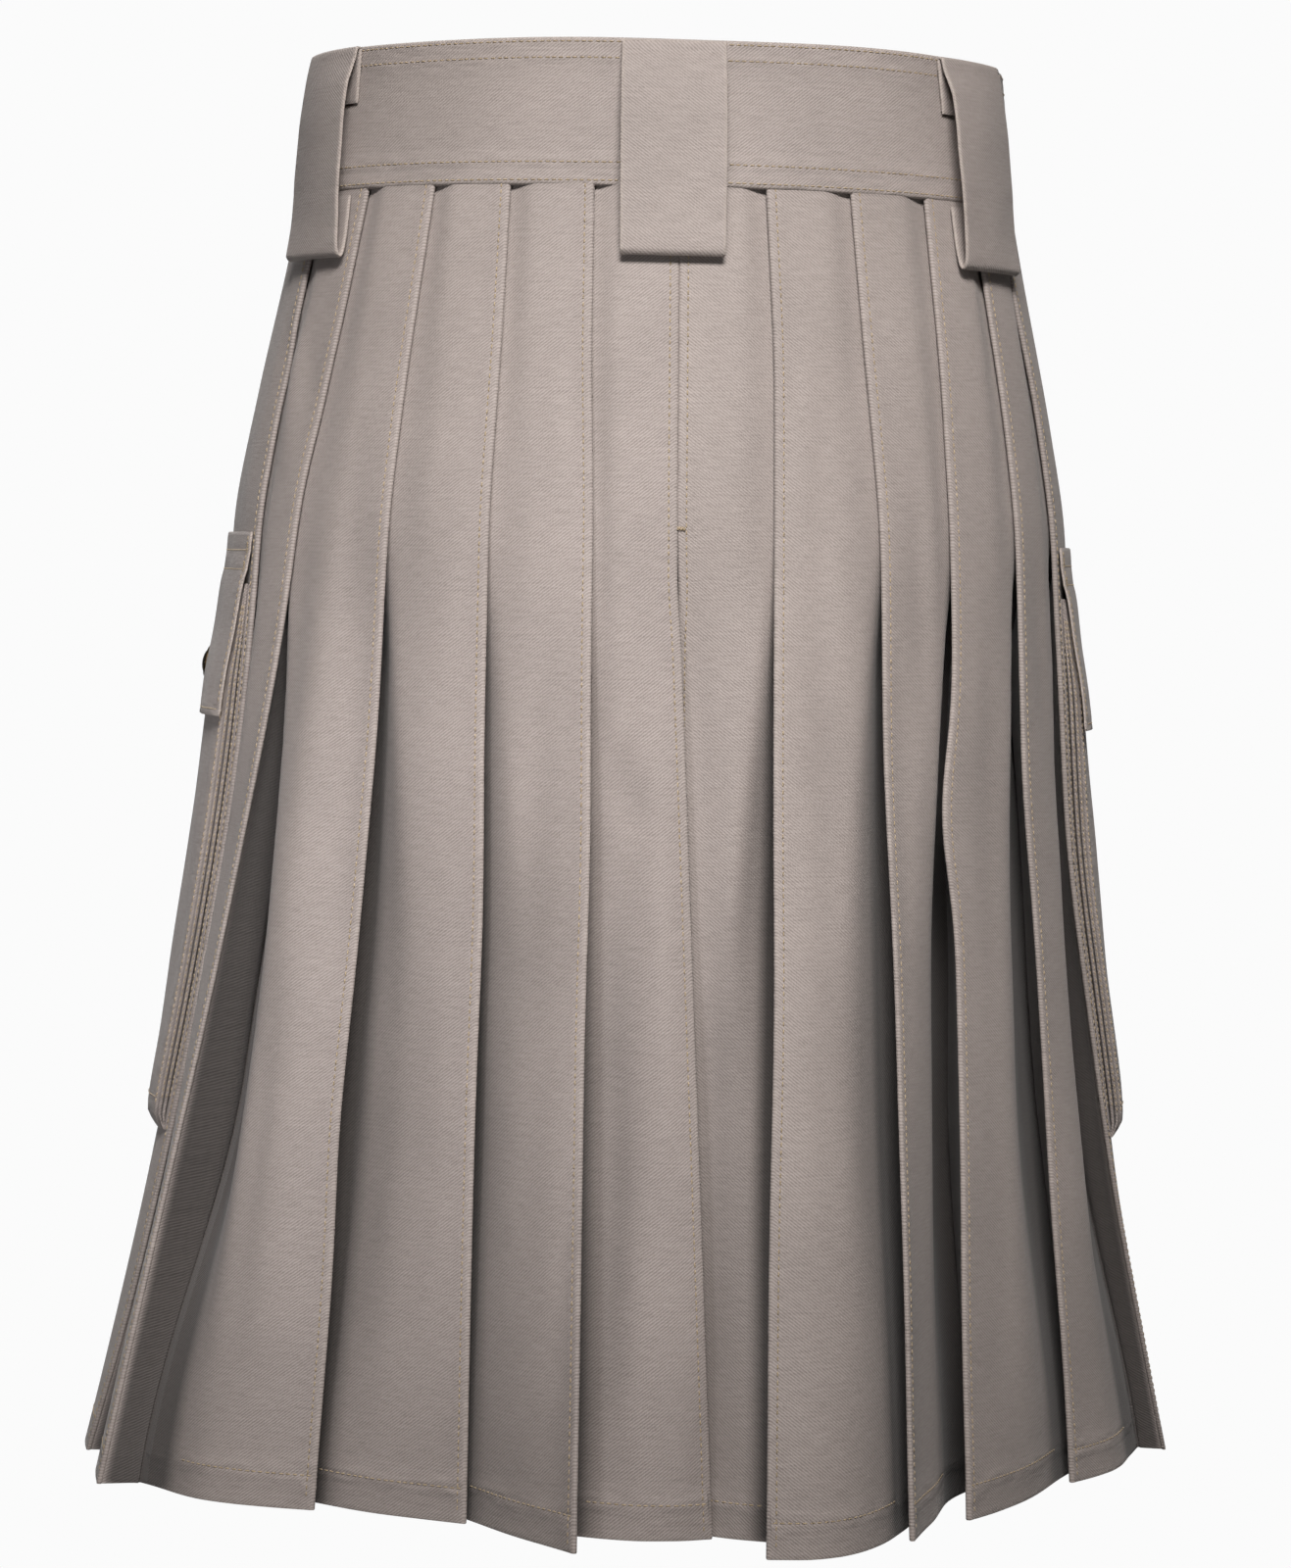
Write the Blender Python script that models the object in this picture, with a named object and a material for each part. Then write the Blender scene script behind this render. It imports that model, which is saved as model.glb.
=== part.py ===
"""Utility kilt, worn size 32 inch waist and 24 inch drop, in metres with +Z up.

The origin is the centre of the waist opening at half the height of the waistband.
The wearer faces -Y, so the pleated back is at +Y and the wearer's left is at +X.
Distances called "along" run round the body from the centre back, in millimetres.
"""

import math
from typing import NamedTuple

import bmesh
import bpy
import numpy as np

MM = 0.001

# Heights, in metres
RIM_Z = 0.0305
BAND_FOOT_Z = -0.0305
SKIRT_TOP_Z = -0.0308
MIDDLE_Z = -0.100
RELEASE_Z = -0.166
HEM_Z = -0.5725

# Cloth, in millimetres
CLOTH = 1.0
LAYER = 1.6
BAND_WALL = 2.4
BAND_OFFSET = -0.3
OVERLAP_OFFSET = 3.0
APRON_OFFSET = 2.8
LOOP_WALL = 1.4
LOOP_WIDTH = 42.0
FLAP_WALL = 1.4
POUCH_FROM_EDGE = 2.5
POUCH_WIDTH = 132.0
SNAP_RADIUS = 7.0
SNAP_HEIGHT = 3.4
SEAM_GAP = 0.3
ROUNDNESS = 2.15
CENTRE_SEAM = -3.0
FOLD_DEPTH = 22.0
TUCK = 4.2

SKIRT_ROWS = (
    SKIRT_TOP_Z, -0.056, -0.083, -0.110, -0.138, RELEASE_Z, -0.188, -0.218,
    -0.256, -0.300, -0.350, -0.400, -0.450, -0.510, HEM_Z,
)


class Section(NamedTuple):
    """Half sizes of the body outline at one height, in millimetres."""

    z: float
    half_width: float
    back: float
    front: float


SECTIONS = (
    Section(-0.5725, 241.5, 207.0, 172.0),
    Section(-0.166, 180.5, 148.0, 124.0),
    Section(-0.120, 173.0, 140.0, 120.0),
    Section(-0.083, 165.0, 133.0, 116.0),
    Section(-0.060, 160.0, 127.0, 113.0),
    Section(-0.0305, 154.5, 119.0, 110.0),
    Section(0.0305, 148.0, 108.0, 104.0),
)


class Pleat(NamedTuple):
    """One knife pleat: the fold edge along the body at three heights, and its plan at the hem."""

    top: float
    middle: float
    release: float
    edge: tuple[float, float]
    face: tuple[float, float]
    inner: tuple[float, float]


# At the hem: the fold edge, the middle of its face, and the inner fold that the face runs to
LEFT_PLEATS = (
    Pleat(-1.9, -1.9, -1.9, (-22.0, 185.5), (14.0, 188.5), (52.0, 172.0)),
    Pleat(33.0, 33.5, 32.0, (34.0, 211.0), (63.0, 172.5), (94.0, 134.0)),
    Pleat(68.0, 71.0, 75.0, (76.5, 162.0), (117.0, 142.0), (162.0, 112.0)),
    Pleat(102.0, 112.0, 120.0, (138.0, 140.0), (183.0, 123.0), (215.6, 95.0)),
    Pleat(137.0, 153.0, 170.0, (229.0, 95.0), (231.0, 63.0), (226.0, 31.0)),
    Pleat(171.0, 190.0, 205.0, (238.0, 30.0), (0.0, 0.0), (0.0, 0.0)),
)
RIGHT_PLEATS = (
    Pleat(-4.0, -4.0, -4.0, (-8.0, 170.0), (-33.0, 187.0), (-62.0, 198.0)),
    Pleat(-40.0, -43.5, -44.0, (-43.0, 218.5), (-82.0, 204.0), (-110.0, 152.0)),
    Pleat(-77.0, -83.0, -90.0, (-104.0, 186.0), (-122.0, 134.0), (-140.0, 100.0)),
    Pleat(-114.0, -121.0, -125.0, (-131.0, 149.0), (-163.0, 108.0), (-196.0, 46.0)),
    Pleat(-145.0, -158.0, -166.0, (-185.0, 79.0), (-210.0, 47.0), (-227.0, 8.0)),
    Pleat(-167.0, -192.0, -209.0, (-236.0, 12.0), (0.0, 0.0), (0.0, 0.0)),
)
# The hidden panel behind the centre back: seam and first inner fold at the hem
LEFT_CENTRE = ((-11.7, 157.0), (25.0, 160.0))
RIGHT_CENTRE = ((-12.3, 157.0), (-46.0, 168.0))
# How fast each pleat leaves the hip line on its way to the hem: 1 is straight
LEAN_BACK = 1.0
LEAN_SIDE = 1.6
LEAN_FRONT = 1.2

# Where the side panels meet the aprons, along the body at top, middle, release and hem
SIDE_SEAM = (304.0, 330.0, 352.0, 470.0)

# Cloth colours, linear
TWILL = (0.318, 0.282, 0.252, 1.0)
TWILL_SHADE = (0.262, 0.231, 0.206, 1.0)
BRASS = (0.130, 0.092, 0.045, 1.0)


class Ring:
    """The body outline at one height, walked by distance from the centre back toward the left."""

    def __init__(self, half_width: float, back: float, front: float) -> None:
        turn = np.linspace(0.0, 2.0 * math.pi, 1441)
        wave, lean = np.sin(turn), np.cos(turn)
        power = 2.0 / ROUNDNESS
        depth = np.where(lean > 0, back, front)
        self.x = half_width * np.sign(wave) * np.abs(wave) ** power
        self.y = depth * np.sign(lean) * np.abs(lean) ** power
        steps = np.hypot(np.diff(self.x), np.diff(self.y))
        self.along = np.concatenate([[0.0], np.cumsum(steps)])
        self.length = float(self.along[-1])

    def point(self, along: float) -> np.ndarray:
        """The outline point at this distance."""
        walked = along % self.length
        return np.array([np.interp(walked, self.along, self.x), np.interp(walked, self.along, self.y)])

    def at(self, along: float, out: float) -> np.ndarray:
        """The point at this distance, moved outward."""
        way = self.point(along + 1.0) - self.point(along - 1.0)
        way /= np.linalg.norm(way)
        return self.point(along) + out * np.array([-way[1], way[0]])

    def locate(self, place: tuple[float, float]) -> tuple[float, float]:
        """The distance along and outward of a plan point on the left half or the right half."""
        gaps = np.hypot(self.x - place[0], self.y - place[1])
        nearest = int(np.argmin(gaps))
        along = float(self.along[nearest])
        if place[0] < 0:
            along -= self.length
        out = float(np.dot(np.array(place) - self.at(along, 0.0), self.at(along, 1.0) - self.at(along, 0.0)))
        return along, out


def ring_at(z: float) -> Ring:
    """The body outline at a height, between the rows of the table."""
    heights = [row.z for row in SECTIONS]
    sizes = [float(np.interp(z, heights, [row[i] for row in SECTIONS])) for i in (1, 2, 3)]
    return Ring(*sizes)


RINGS = {z: ring_at(z) for z in SKIRT_ROWS}
HIP = RINGS[RELEASE_Z]
HEM = RINGS[HEM_Z]


class Station(NamedTuple):
    """One column of a cloth wall, from the waist seam to the hem."""

    top: float
    middle: float
    release: float
    out: float
    hem: np.ndarray
    lean: float
    tuck: float


def fall(z: float) -> float:
    """How far a height lies between the release line, 0, and the hem, 1."""
    return min(1.0, max(0.0, (RELEASE_Z - z) / (RELEASE_Z - HEM_Z)))


def above_release(z: float, top: float, middle: float, release: float) -> float:
    """A distance along the body at a height in the sewn part."""
    return float(np.interp(z, [RELEASE_Z, MIDDLE_Z, SKIRT_TOP_Z], [release, middle, top]))


def place(station: Station, z: float) -> np.ndarray:
    """The plan point of a column at a height."""
    if z >= RELEASE_Z:
        along = above_release(z, station.top, station.middle, station.release)
        ring = RINGS[z] if z in RINGS else ring_at(z)
        return ring.at(along, station.out)
    hung = fall(z)
    share = hung**station.lean
    point = (1.0 - share) * HIP.at(station.release, station.out) + share * station.hem
    sunk = station.tuck * min(1.0, hung / 0.10) * min(1.0, max(0.0, (1.0 - hung) / 0.35))
    return point - np.array([0.0, sunk])


def curve(start: np.ndarray, middle: np.ndarray, end: np.ndarray, t: float) -> np.ndarray:
    """A parabola through three plan points."""
    pull = 2.0 * middle - 0.5 * (start + end)
    return (1 - t) ** 2 * start + 2 * t * (1 - t) * pull + t * t * end


def outward(way: np.ndarray, side: float) -> np.ndarray:
    """The outward unit vector beside a direction that leads away from the centre back."""
    way = way / np.linalg.norm(way)
    return side * np.array([-way[1], way[0]])


def seam_along(side: float) -> tuple[float, float, float, float]:
    """The side seam's four distances on this side."""
    return tuple(side * value for value in SIDE_SEAM)


def pleated_stations(side: float, pleats: tuple[Pleat, ...], centre) -> list[Station]:
    """The columns of one pleated half, from the hidden centre seam out to the side seam."""
    u = side * FOLD_DEPTH
    seam_hem, first_inner = (np.array(p) for p in centre)
    seam = CENTRE_SEAM + side * SEAM_GAP / 2 + side * CLOTH / 4
    first = pleats[0]
    deep = -2 * LAYER
    stations = [
        Station(seam, seam, seam, deep, seam_hem, LEAN_BACK, TUCK),
        Station(
            first.top + u / 2, first.middle + u / 2, first.release + u / 2, deep,
            0.5 * (seam_hem + first_inner), LEAN_BACK, TUCK * (0.7 if side > 0 else 1.0),
        ),
    ]
    inner, inner_way = first_inner, first_inner - seam_hem
    for k, pleat in enumerate(pleats):
        edge = np.array(pleat.edge)
        last = k == len(pleats) - 1
        lean = (LEAN_BACK, LEAN_BACK, LEAN_BACK, LEAN_BACK, 1.15, LEAN_SIDE)[k]
        if last:
            way = HEM.point(HEM.locate(pleat.edge)[0] + side * 4.0) - edge
        else:
            way = curve(edge, np.array(pleat.face), np.array(pleat.inner), 0.1) - edge
        tuck = TUCK if (side < 0 and k == 0) else 0.0
        fold = inner + LAYER * outward(inner_way, side)
        back = edge - LAYER * outward(way, side)
        under = (pleat.top, pleat.middle, pleat.release)
        deeper = [value + u for value in under]
        halfway = [value + u / 2 for value in under]
        centre_tuck = TUCK if (side < 0 and k == 0) else 0.0
        stations.append(Station(*deeper, deep, inner, lean, centre_tuck * 0.6))
        stations.append(Station(*deeper, -LAYER, fold, lean, centre_tuck * 0.6))
        stations.append(Station(*halfway, -LAYER, 0.5 * (fold + back), lean, tuck * 0.85))
        stations.append(Station(*under, -LAYER, back, lean, tuck))
        stations.append(Station(*under, 0.0, edge, lean, tuck))
        if last:
            stations += side_panel_stations(side, pleat)
            break
        after = pleats[k + 1]
        next_edge = (after.top, after.middle, after.release)
        next_lean = (LEAN_BACK, LEAN_BACK, LEAN_BACK, 1.15, LEAN_SIDE)[k]
        columns = (
            ([v + u / 2 for v in under], 0.0, 0.85),
            ([v + u for v in under], 0.0, 0.6),
            ([v + u + side * 1.5 for v in under], 0.0, 0.5),
            ([v - side * 1.5 for v in next_edge], deep, 0.0),
            ([v + u / 2 for v in next_edge], deep, 0.0),
        )
        span = after.release + u - pleat.release
        for along, out, sink in columns:
            t = (along[2] - pleat.release) / span
            hem = curve(edge, np.array(pleat.face), np.array(pleat.inner), t)
            stations.append(Station(*along, out, hem, lean + t * (next_lean - lean), tuck * sink))
        inner = np.array(pleat.inner)
        inner_way = inner - curve(edge, np.array(pleat.face), inner, 0.9)
    return stations


def side_panel_stations(side: float, pleat: Pleat, columns: int = 13) -> list[Station]:
    """The plain panel from the last pleat edge to the side seam."""
    return [side_panel(side, pleat, (i + 1) / columns, 0.0) for i in range(columns)]


def side_panel(side: float, pleat: Pleat, share: float, out: float) -> Station:
    """A column of the side panel: share 0 is the last pleat edge, 1 the side seam."""
    seam = seam_along(side)
    start_along, start_out = HEM.locate(pleat.edge)
    along = [a + share * (b - a) for a, b in zip((pleat.top, pleat.middle, pleat.release), seam)]
    hem_along = start_along + share * (seam[3] - start_along)
    hem_out = start_out * max(0.0, 1.0 - share / 0.5)
    lean = LEAN_SIDE + max(0.0, share - 0.6) / 0.4 * (LEAN_FRONT - LEAN_SIDE)
    return Station(*along, out, HEM.at(hem_along, hem_out + out), lean, 0.0)


def offset_path(points: np.ndarray, distance: float) -> np.ndarray:
    """A polyline moved to the left of its direction, with mitred corners."""
    ways = np.diff(points, axis=0)
    ways /= np.maximum(np.linalg.norm(ways, axis=1, keepdims=True), 1e-9)
    sides = np.stack([-ways[:, 1], ways[:, 0]], axis=1)
    before = np.vstack([sides[:1], sides])
    after = np.vstack([sides, sides[-1:]])
    spread = 1.0 + (before * after).sum(axis=1, keepdims=True)
    mitre = (before + after) / np.maximum(spread, 0.35)
    return points + distance * mitre


def material(name: str, colour, roughness: float, metallic: float = 0.0):
    """A plain surface colour."""
    made = bpy.data.materials.new(name)
    made.use_nodes = True
    surface = made.node_tree.nodes["Principled BSDF"]
    surface.inputs["Base Color"].default_value = colour
    surface.inputs["Roughness"].default_value = roughness
    surface.inputs["Metallic"].default_value = metallic
    made.diffuse_color = colour
    return made


def walled(name: str, outer: np.ndarray, inner: np.ndarray, surface) -> bpy.types.Object:
    """A closed cloth wall between two grids of points, rows by columns, in millimetres."""
    rows, columns = outer.shape[:2]
    mesh = bpy.data.meshes.new(name)
    made = bmesh.new()
    grids = []
    for grid in (outer, inner):
        grids.append([[made.verts.new(grid[r, c] * MM) for c in range(columns)] for r in range(rows)])
    front, rear = grids
    for r in range(rows - 1):
        for c in range(columns - 1):
            made.faces.new((front[r][c], front[r][c + 1], front[r + 1][c + 1], front[r + 1][c]))
            made.faces.new((rear[r][c], rear[r + 1][c], rear[r + 1][c + 1], rear[r][c + 1]))
    for c in range(columns - 1):
        made.faces.new((front[0][c], rear[0][c], rear[0][c + 1], front[0][c + 1]))
        made.faces.new((front[-1][c], front[-1][c + 1], rear[-1][c + 1], rear[-1][c]))
    for r in range(rows - 1):
        made.faces.new((front[r][0], front[r + 1][0], rear[r + 1][0], rear[r][0]))
        made.faces.new((front[r][-1], rear[r][-1], rear[r + 1][-1], front[r + 1][-1]))
    bmesh.ops.recalc_face_normals(made, faces=made.faces)
    made.to_mesh(mesh)
    made.free()
    mesh.materials.append(surface)
    made_object = bpy.data.objects.new(name, mesh)
    bpy.context.scene.collection.objects.link(made_object)
    return made_object


def hung_wall(name: str, stations: list[Station], rows: tuple[float, ...], wall: float, surface):
    """A cloth wall whose columns hang from the waist seam to the hem."""
    outer, inner = [], []
    for z in rows:
        path = np.array([place(station, z) for station in stations])
        for grid, shift in ((outer, wall / 2), (inner, -wall / 2)):
            moved = offset_path(path, shift)
            grid.append(np.column_stack([moved, np.full(len(moved), z / MM)]))
    return walled(name, np.array(outer), np.array(inner), surface)


def apron_stations(start: float, end: float, out: float, columns: int, rise: float) -> list[Station]:
    """The columns of a front panel: share 0 is the left side seam and 1 the right one."""
    left, right = seam_along(1.0), seam_along(-1.0)
    rings = (RINGS[SKIRT_TOP_Z], ring_at(MIDDLE_Z), HIP, HEM)
    stations = []
    for share in np.linspace(start, end, columns):
        widths = [ring.length + b - a for a, b, ring in zip(left, right, rings)]
        if share <= 0.5:
            along = [a + share * width for a, width in zip(left, widths)]
        else:
            along = [b - (1.0 - share) * width for b, width in zip(right, widths)]
        lifted = out * min(1.0, max(0.0, share / rise)) if rise else out
        stations.append(Station(*along[:3], lifted, HEM.at(along[3], lifted), LEAN_FRONT, 0.0))
    return stations


def waistband(surface):
    """One folded strip that goes round the waist, with its two ends overlapping at the front."""
    rows = (BAND_FOOT_Z, 0.0, RIM_Z)
    outer, inner = [], []
    for z in rows:
        ring = ring_at(z)
        seam = SIDE_SEAM[0] + (z - BAND_FOOT_Z) * -180.0
        begin = -(ring.length - seam) + 18.0
        finish = ring.length - seam + 2.0
        path = []
        for along in np.linspace(begin, finish, 74):
            lift = min(1.0, max(0.0, (along - seam) / 16.0))
            path.append(ring.at(along, BAND_OFFSET + lift * (OVERLAP_OFFSET - BAND_OFFSET)))
        for grid, shift in ((outer, BAND_WALL / 2), (inner, -BAND_WALL / 2)):
            moved = offset_path(np.array(path), shift)
            grid.append(np.column_stack([moved, np.full(len(moved), z / MM)]))
    return walled("waistband", np.array(outer), np.array(inner), surface)


class LoopForm(NamedTuple):
    """A hanging belt loop: its place along the body at the rim, its slant from there down,
    and how far its strip bows out at the edge nearer the centre back and at the other edge."""

    name: str
    along: float
    slant: float
    near_bow: float
    far_bow: float


LOOPS = (
    LoopForm("belt_loop_center", 0.0, 0.0, 9.2, 9.2),
    LoopForm("belt_loop_left", 161.0, 6.0, 10.5, 7.0),
    LoopForm("belt_loop_right", -139.0, -11.0, 12.0, 6.8),
)


def loop_profile(bow: float) -> np.ndarray:
    """The strip's centre line seen from the side: distance out, then height, in millimetres."""
    return np.array([
        (1.9, -33.0), (2.1, -45.0), (2.8, -55.5), (4.4, -58.8), (6.2, -57.0),
        (0.62 * bow + 1.5, -45.0), (bow, -22.0), (bow, -4.0), (0.80 * bow + 0.6, 12.0),
        (5.0, 24.5), (3.7, 29.3), (2.3, 29.3), (1.9, 26.0), (1.9, 6.0),
    ])


def belt_loop(form: LoopForm, surface):
    """A wide strip, sewn into the waist seam below and to the rim above."""
    grids = []
    for shift in (LOOP_WALL / 2, -LOOP_WALL / 2):
        grid = []
        for share in np.linspace(0.0, 1.0, 5):
            toward_far = share if form.along >= 0 else 1.0 - share
            across = (share - 0.5) * LOOP_WIDTH
            bow = form.near_bow + toward_far * (form.far_bow - form.near_bow)
            line = []
            for out, height in offset_path(loop_profile(bow), shift):
                ring = ring_at(height * MM)
                hang = (29.3 - height) / 88.0
                point = ring.at(form.along + form.slant * hang + across, out)
                line.append((*point, height))
            grid.append(line)
        grids.append(np.array(grid))
    return walled(form.name, grids[0], grids[1], surface)


def pocket_station(side: float, pleats: tuple[Pleat, ...], share: float) -> Station:
    """A column of the side panel under the pocket: share 0 is the pouch's back edge, 1 its front."""
    edge = pleats[-1]
    width = SIDE_SEAM[2] - abs(edge.release)
    reach = (POUCH_FROM_EDGE + share * POUCH_WIDTH) / width
    return side_panel(side, edge, reach, 0.0)


# The pouch's face and the flap over it: height, then distance of each from the side panel
POUCH_ROWS = (
    (-0.196, 2.6), (-0.215, 4.4), (-0.240, 6.8), (-0.290, 7.2),
    (-0.350, 7.2), (-0.405, 7.0), (-0.423, 6.2), (-0.431, 1.4),
)
FLAP_ROWS = (
    (-0.174, 1.9), (-0.186, 2.6), (-0.197, 4.6), (-0.216, 6.4), (-0.238, 8.6), (-0.2525, 8.9),
)


def panel_point(side: float, pleats: tuple[Pleat, ...], share: float, z: float, out: float) -> np.ndarray:
    """A plan point that lies this far outside the side panel."""
    here = place(pocket_station(side, pleats, share), z)
    way = place(pocket_station(side, pleats, share + 0.01), z) - place(pocket_station(side, pleats, share - 0.01), z)
    return here + out * outward(way, side)


def pouch(name: str, side: float, pleats: tuple[Pleat, ...], surface):
    """A gusseted pouch, open at the top and closed at the back by the side panel."""
    foot = CLOTH / 2 + SEAM_GAP + CLOTH / 2
    flange = 4.0 / POUCH_WIDTH
    wall_top = 5.2 / POUCH_WIDTH
    outer, inner = [], []
    for z, out in POUCH_ROWS:
        shape = [(0.0, foot), (flange, foot), (wall_top, out)]
        shape += [(share, out) for share in np.linspace(0.12, 0.88, 8)]
        shape += [(1 - wall_top, out), (1 - flange, foot), (1.0, foot)]
        path = np.array([panel_point(side, pleats, share, z, far) for share, far in shape])
        for grid, shift in ((outer, CLOTH / 2), (inner, -CLOTH / 2)):
            moved = offset_path(path, shift)
            grid.append(np.column_stack([moved, np.full(len(moved), z / MM)]))
    return walled(name, np.array(outer), np.array(inner), surface)


def flap(name: str, side: float, pleats: tuple[Pleat, ...], surface):
    """The pocket flap, sewn above the pouch and hanging over it."""
    outer, inner = [], []
    for z, out in FLAP_ROWS:
        shares = np.linspace(-0.012, 1.012, 12)
        path = np.array([panel_point(side, pleats, share, z, out) for share in shares])
        for grid, shift in ((outer, FLAP_WALL / 2), (inner, -FLAP_WALL / 2)):
            moved = offset_path(path, shift)
            grid.append(np.column_stack([moved, np.full(len(moved), z / MM)]))
    return walled(name, np.array(outer), np.array(inner), surface)


def snap_cap(name: str, seat: np.ndarray, facing: np.ndarray, surface):
    """A low domed snap cap, turned about the direction that it faces."""
    profile = ((0.0, 6.2), (0.9, SNAP_RADIUS), (1.7, 6.6), (2.7, 4.6), (SNAP_HEIGHT, 1.8))
    facing = facing / np.linalg.norm(facing)
    across = np.cross(facing, (0.0, 0.0, 1.0))
    across /= np.linalg.norm(across)
    upward = np.cross(across, facing)
    mesh = bpy.data.meshes.new(name)
    made = bmesh.new()
    turns = np.linspace(0.0, 2 * math.pi, 24, endpoint=False)
    hoops = []
    for height, radius in profile:
        hoop = []
        for turn in turns:
            spread = math.cos(turn) * across + math.sin(turn) * upward
            hoop.append(made.verts.new((seat + height * facing + radius * spread) * MM))
        hoops.append(hoop)
    for low, high in zip(hoops, hoops[1:]):
        for i, vertex in enumerate(low):
            after = (i + 1) % len(low)
            made.faces.new((vertex, low[after], high[after], high[i]))
    made.faces.new(hoops[0])
    made.faces.new(hoops[-1])
    bmesh.ops.recalc_face_normals(made, faces=made.faces)
    made.to_mesh(mesh)
    made.free()
    mesh.materials.append(surface)
    mesh.shade_smooth()
    mesh.set_sharp_from_angle(angle=math.radians(35))
    made_object = bpy.data.objects.new(name, mesh)
    bpy.context.scene.collection.objects.link(made_object)
    return made_object


def pocket_snap(name: str, side: float, pleats: tuple[Pleat, ...], surface):
    """The snap cap in the middle of the flap's lower part."""
    height = -0.231
    rows = [z for z, _ in FLAP_ROWS][::-1]
    out = float(np.interp(height, rows, [far for _, far in FLAP_ROWS][::-1]))
    raised = panel_point(side, pleats, 0.5, height, out + FLAP_WALL / 2 + SEAM_GAP + 0.25)
    beside = panel_point(side, pleats, 0.5, height, out)
    below = panel_point(side, pleats, 0.5, -0.238, 8.6)
    above = panel_point(side, pleats, 0.5, -0.216, 6.4)
    normal = (raised - beside) / np.linalg.norm(raised - beside)
    lean = float(np.dot(below - above, normal)) / 22.0
    facing = np.array([normal[0], normal[1], lean])
    return snap_cap(name, np.array([*raised, height / MM]), facing, surface)


def waist_snap(name: str, from_end: float, surface):
    """A snap cap on the waistband's outer end, at the wearer's right front."""
    height = 0.0
    ring = ring_at(height)
    seam = SIDE_SEAM[0] + (height - BAND_FOOT_Z) * -180.0
    along = -(seam + from_end)
    out = OVERLAP_OFFSET + BAND_WALL / 2 + SEAM_GAP + 0.25
    seat = ring.at(along, out)
    normal = ring.at(along, out + 1.0) - seat
    upper, lower = ring_at(0.01).at(along, out), ring_at(-0.01).at(along, out)
    lean = float(np.dot(lower - upper, normal)) / 20.0
    facing = np.array([normal[0], normal[1], lean])
    return snap_cap(name, np.array([*seat, height / MM]), facing, surface)


def main() -> None:
    """Clears the scene and builds the kilt."""
    for old in list(bpy.data.objects):
        bpy.data.objects.remove(old, do_unlink=True)
    twill = material("cotton_twill", TWILL, 0.9)
    shade = material("cotton_twill_under", TWILL_SHADE, 0.9)
    brass = material("antique_brass", BRASS, 0.4, 1.0)
    hung_wall("pleats_left", pleated_stations(1.0, LEFT_PLEATS, LEFT_CENTRE), SKIRT_ROWS, CLOTH, twill)
    hung_wall("pleats_right", pleated_stations(-1.0, RIGHT_PLEATS, RIGHT_CENTRE), SKIRT_ROWS, CLOTH, twill)
    seam = (SEAM_GAP + CLOTH * 0.2) / 200.0
    hung_wall("over_apron", apron_stations(seam, 1.0, APRON_OFFSET, 20, 0.06), SKIRT_ROWS, CLOTH, twill)
    hung_wall("under_apron", apron_stations(0.10, 1.0 - seam, 0.0, 18, 0.0), SKIRT_ROWS, CLOTH, shade)
    waistband(twill)
    for form in LOOPS:
        belt_loop(form, twill)
    for word, side, pleats in (("left", 1.0, LEFT_PLEATS), ("right", -1.0, RIGHT_PLEATS)):
        pouch(f"pouch_{word}", side, pleats, twill)
        flap(f"flap_{word}", side, pleats, twill)
        pocket_snap(f"snap_pocket_{word}", side, pleats, brass)
    waist_snap("snap_waist_1", 13.0, brass)
    waist_snap("snap_waist_2", 55.0, brass)


main()
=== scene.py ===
"""Looks of the utility kilt: cloth shells, stitching, snap caps, floor, light and camera.

Every length is worked out in millimetres and turned to metres when a mesh is made. The frame is
the solids' own: the origin is the centre of the waist opening at half the height of the
waistband, +Z is up, the pleated back is at +Y and the wearer's left is at +X. Distances called
"along" run round the body from the centre back, toward the wearer's left.
"""

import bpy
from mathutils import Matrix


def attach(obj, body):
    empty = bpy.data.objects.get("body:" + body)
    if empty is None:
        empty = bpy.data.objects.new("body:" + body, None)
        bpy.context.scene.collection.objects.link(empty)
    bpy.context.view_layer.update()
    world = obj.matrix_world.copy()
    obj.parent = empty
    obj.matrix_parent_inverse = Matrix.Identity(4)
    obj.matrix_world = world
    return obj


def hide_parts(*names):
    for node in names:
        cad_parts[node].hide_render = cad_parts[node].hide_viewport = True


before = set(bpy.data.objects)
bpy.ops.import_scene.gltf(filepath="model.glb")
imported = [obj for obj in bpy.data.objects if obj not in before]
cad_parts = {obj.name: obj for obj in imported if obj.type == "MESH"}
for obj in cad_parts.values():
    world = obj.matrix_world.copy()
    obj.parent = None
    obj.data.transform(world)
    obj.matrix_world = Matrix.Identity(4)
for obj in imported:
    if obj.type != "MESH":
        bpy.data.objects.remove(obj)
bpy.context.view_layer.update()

import logging
import math
from dataclasses import dataclass, field
from enum import Enum
from typing import NamedTuple

import bpy
import numpy as np
from mathutils import Matrix, Vector

MM = 0.001
log = logging.getLogger("kilt")


class Side(Enum):
    """The wearer's side that a piece belongs to; the value is the sign of its X."""

    LEFT = 1.0
    RIGHT = -1.0

    @property
    def word(self) -> str:
        """The side in a piece's name."""
        return self.name.lower()


class Held(Enum):
    """How a piece of cloth is held."""

    HUNG = "hung"
    STRETCHED = "stretched"
    FOLDED = "folded"


# ---------------------------------------------------------------- numbers of the kilt's form


class Section(NamedTuple):
    """Half sizes of the body outline at one height, in millimetres."""

    z: float
    half_width: float
    back: float
    front: float


class Pleat(NamedTuple):
    """One knife pleat: its fold edge along the body at three heights, and its plan at the hem."""

    top: float
    middle: float
    release: float
    edge: tuple[float, float]
    face: tuple[float, float]
    inner: tuple[float, float]


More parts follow.
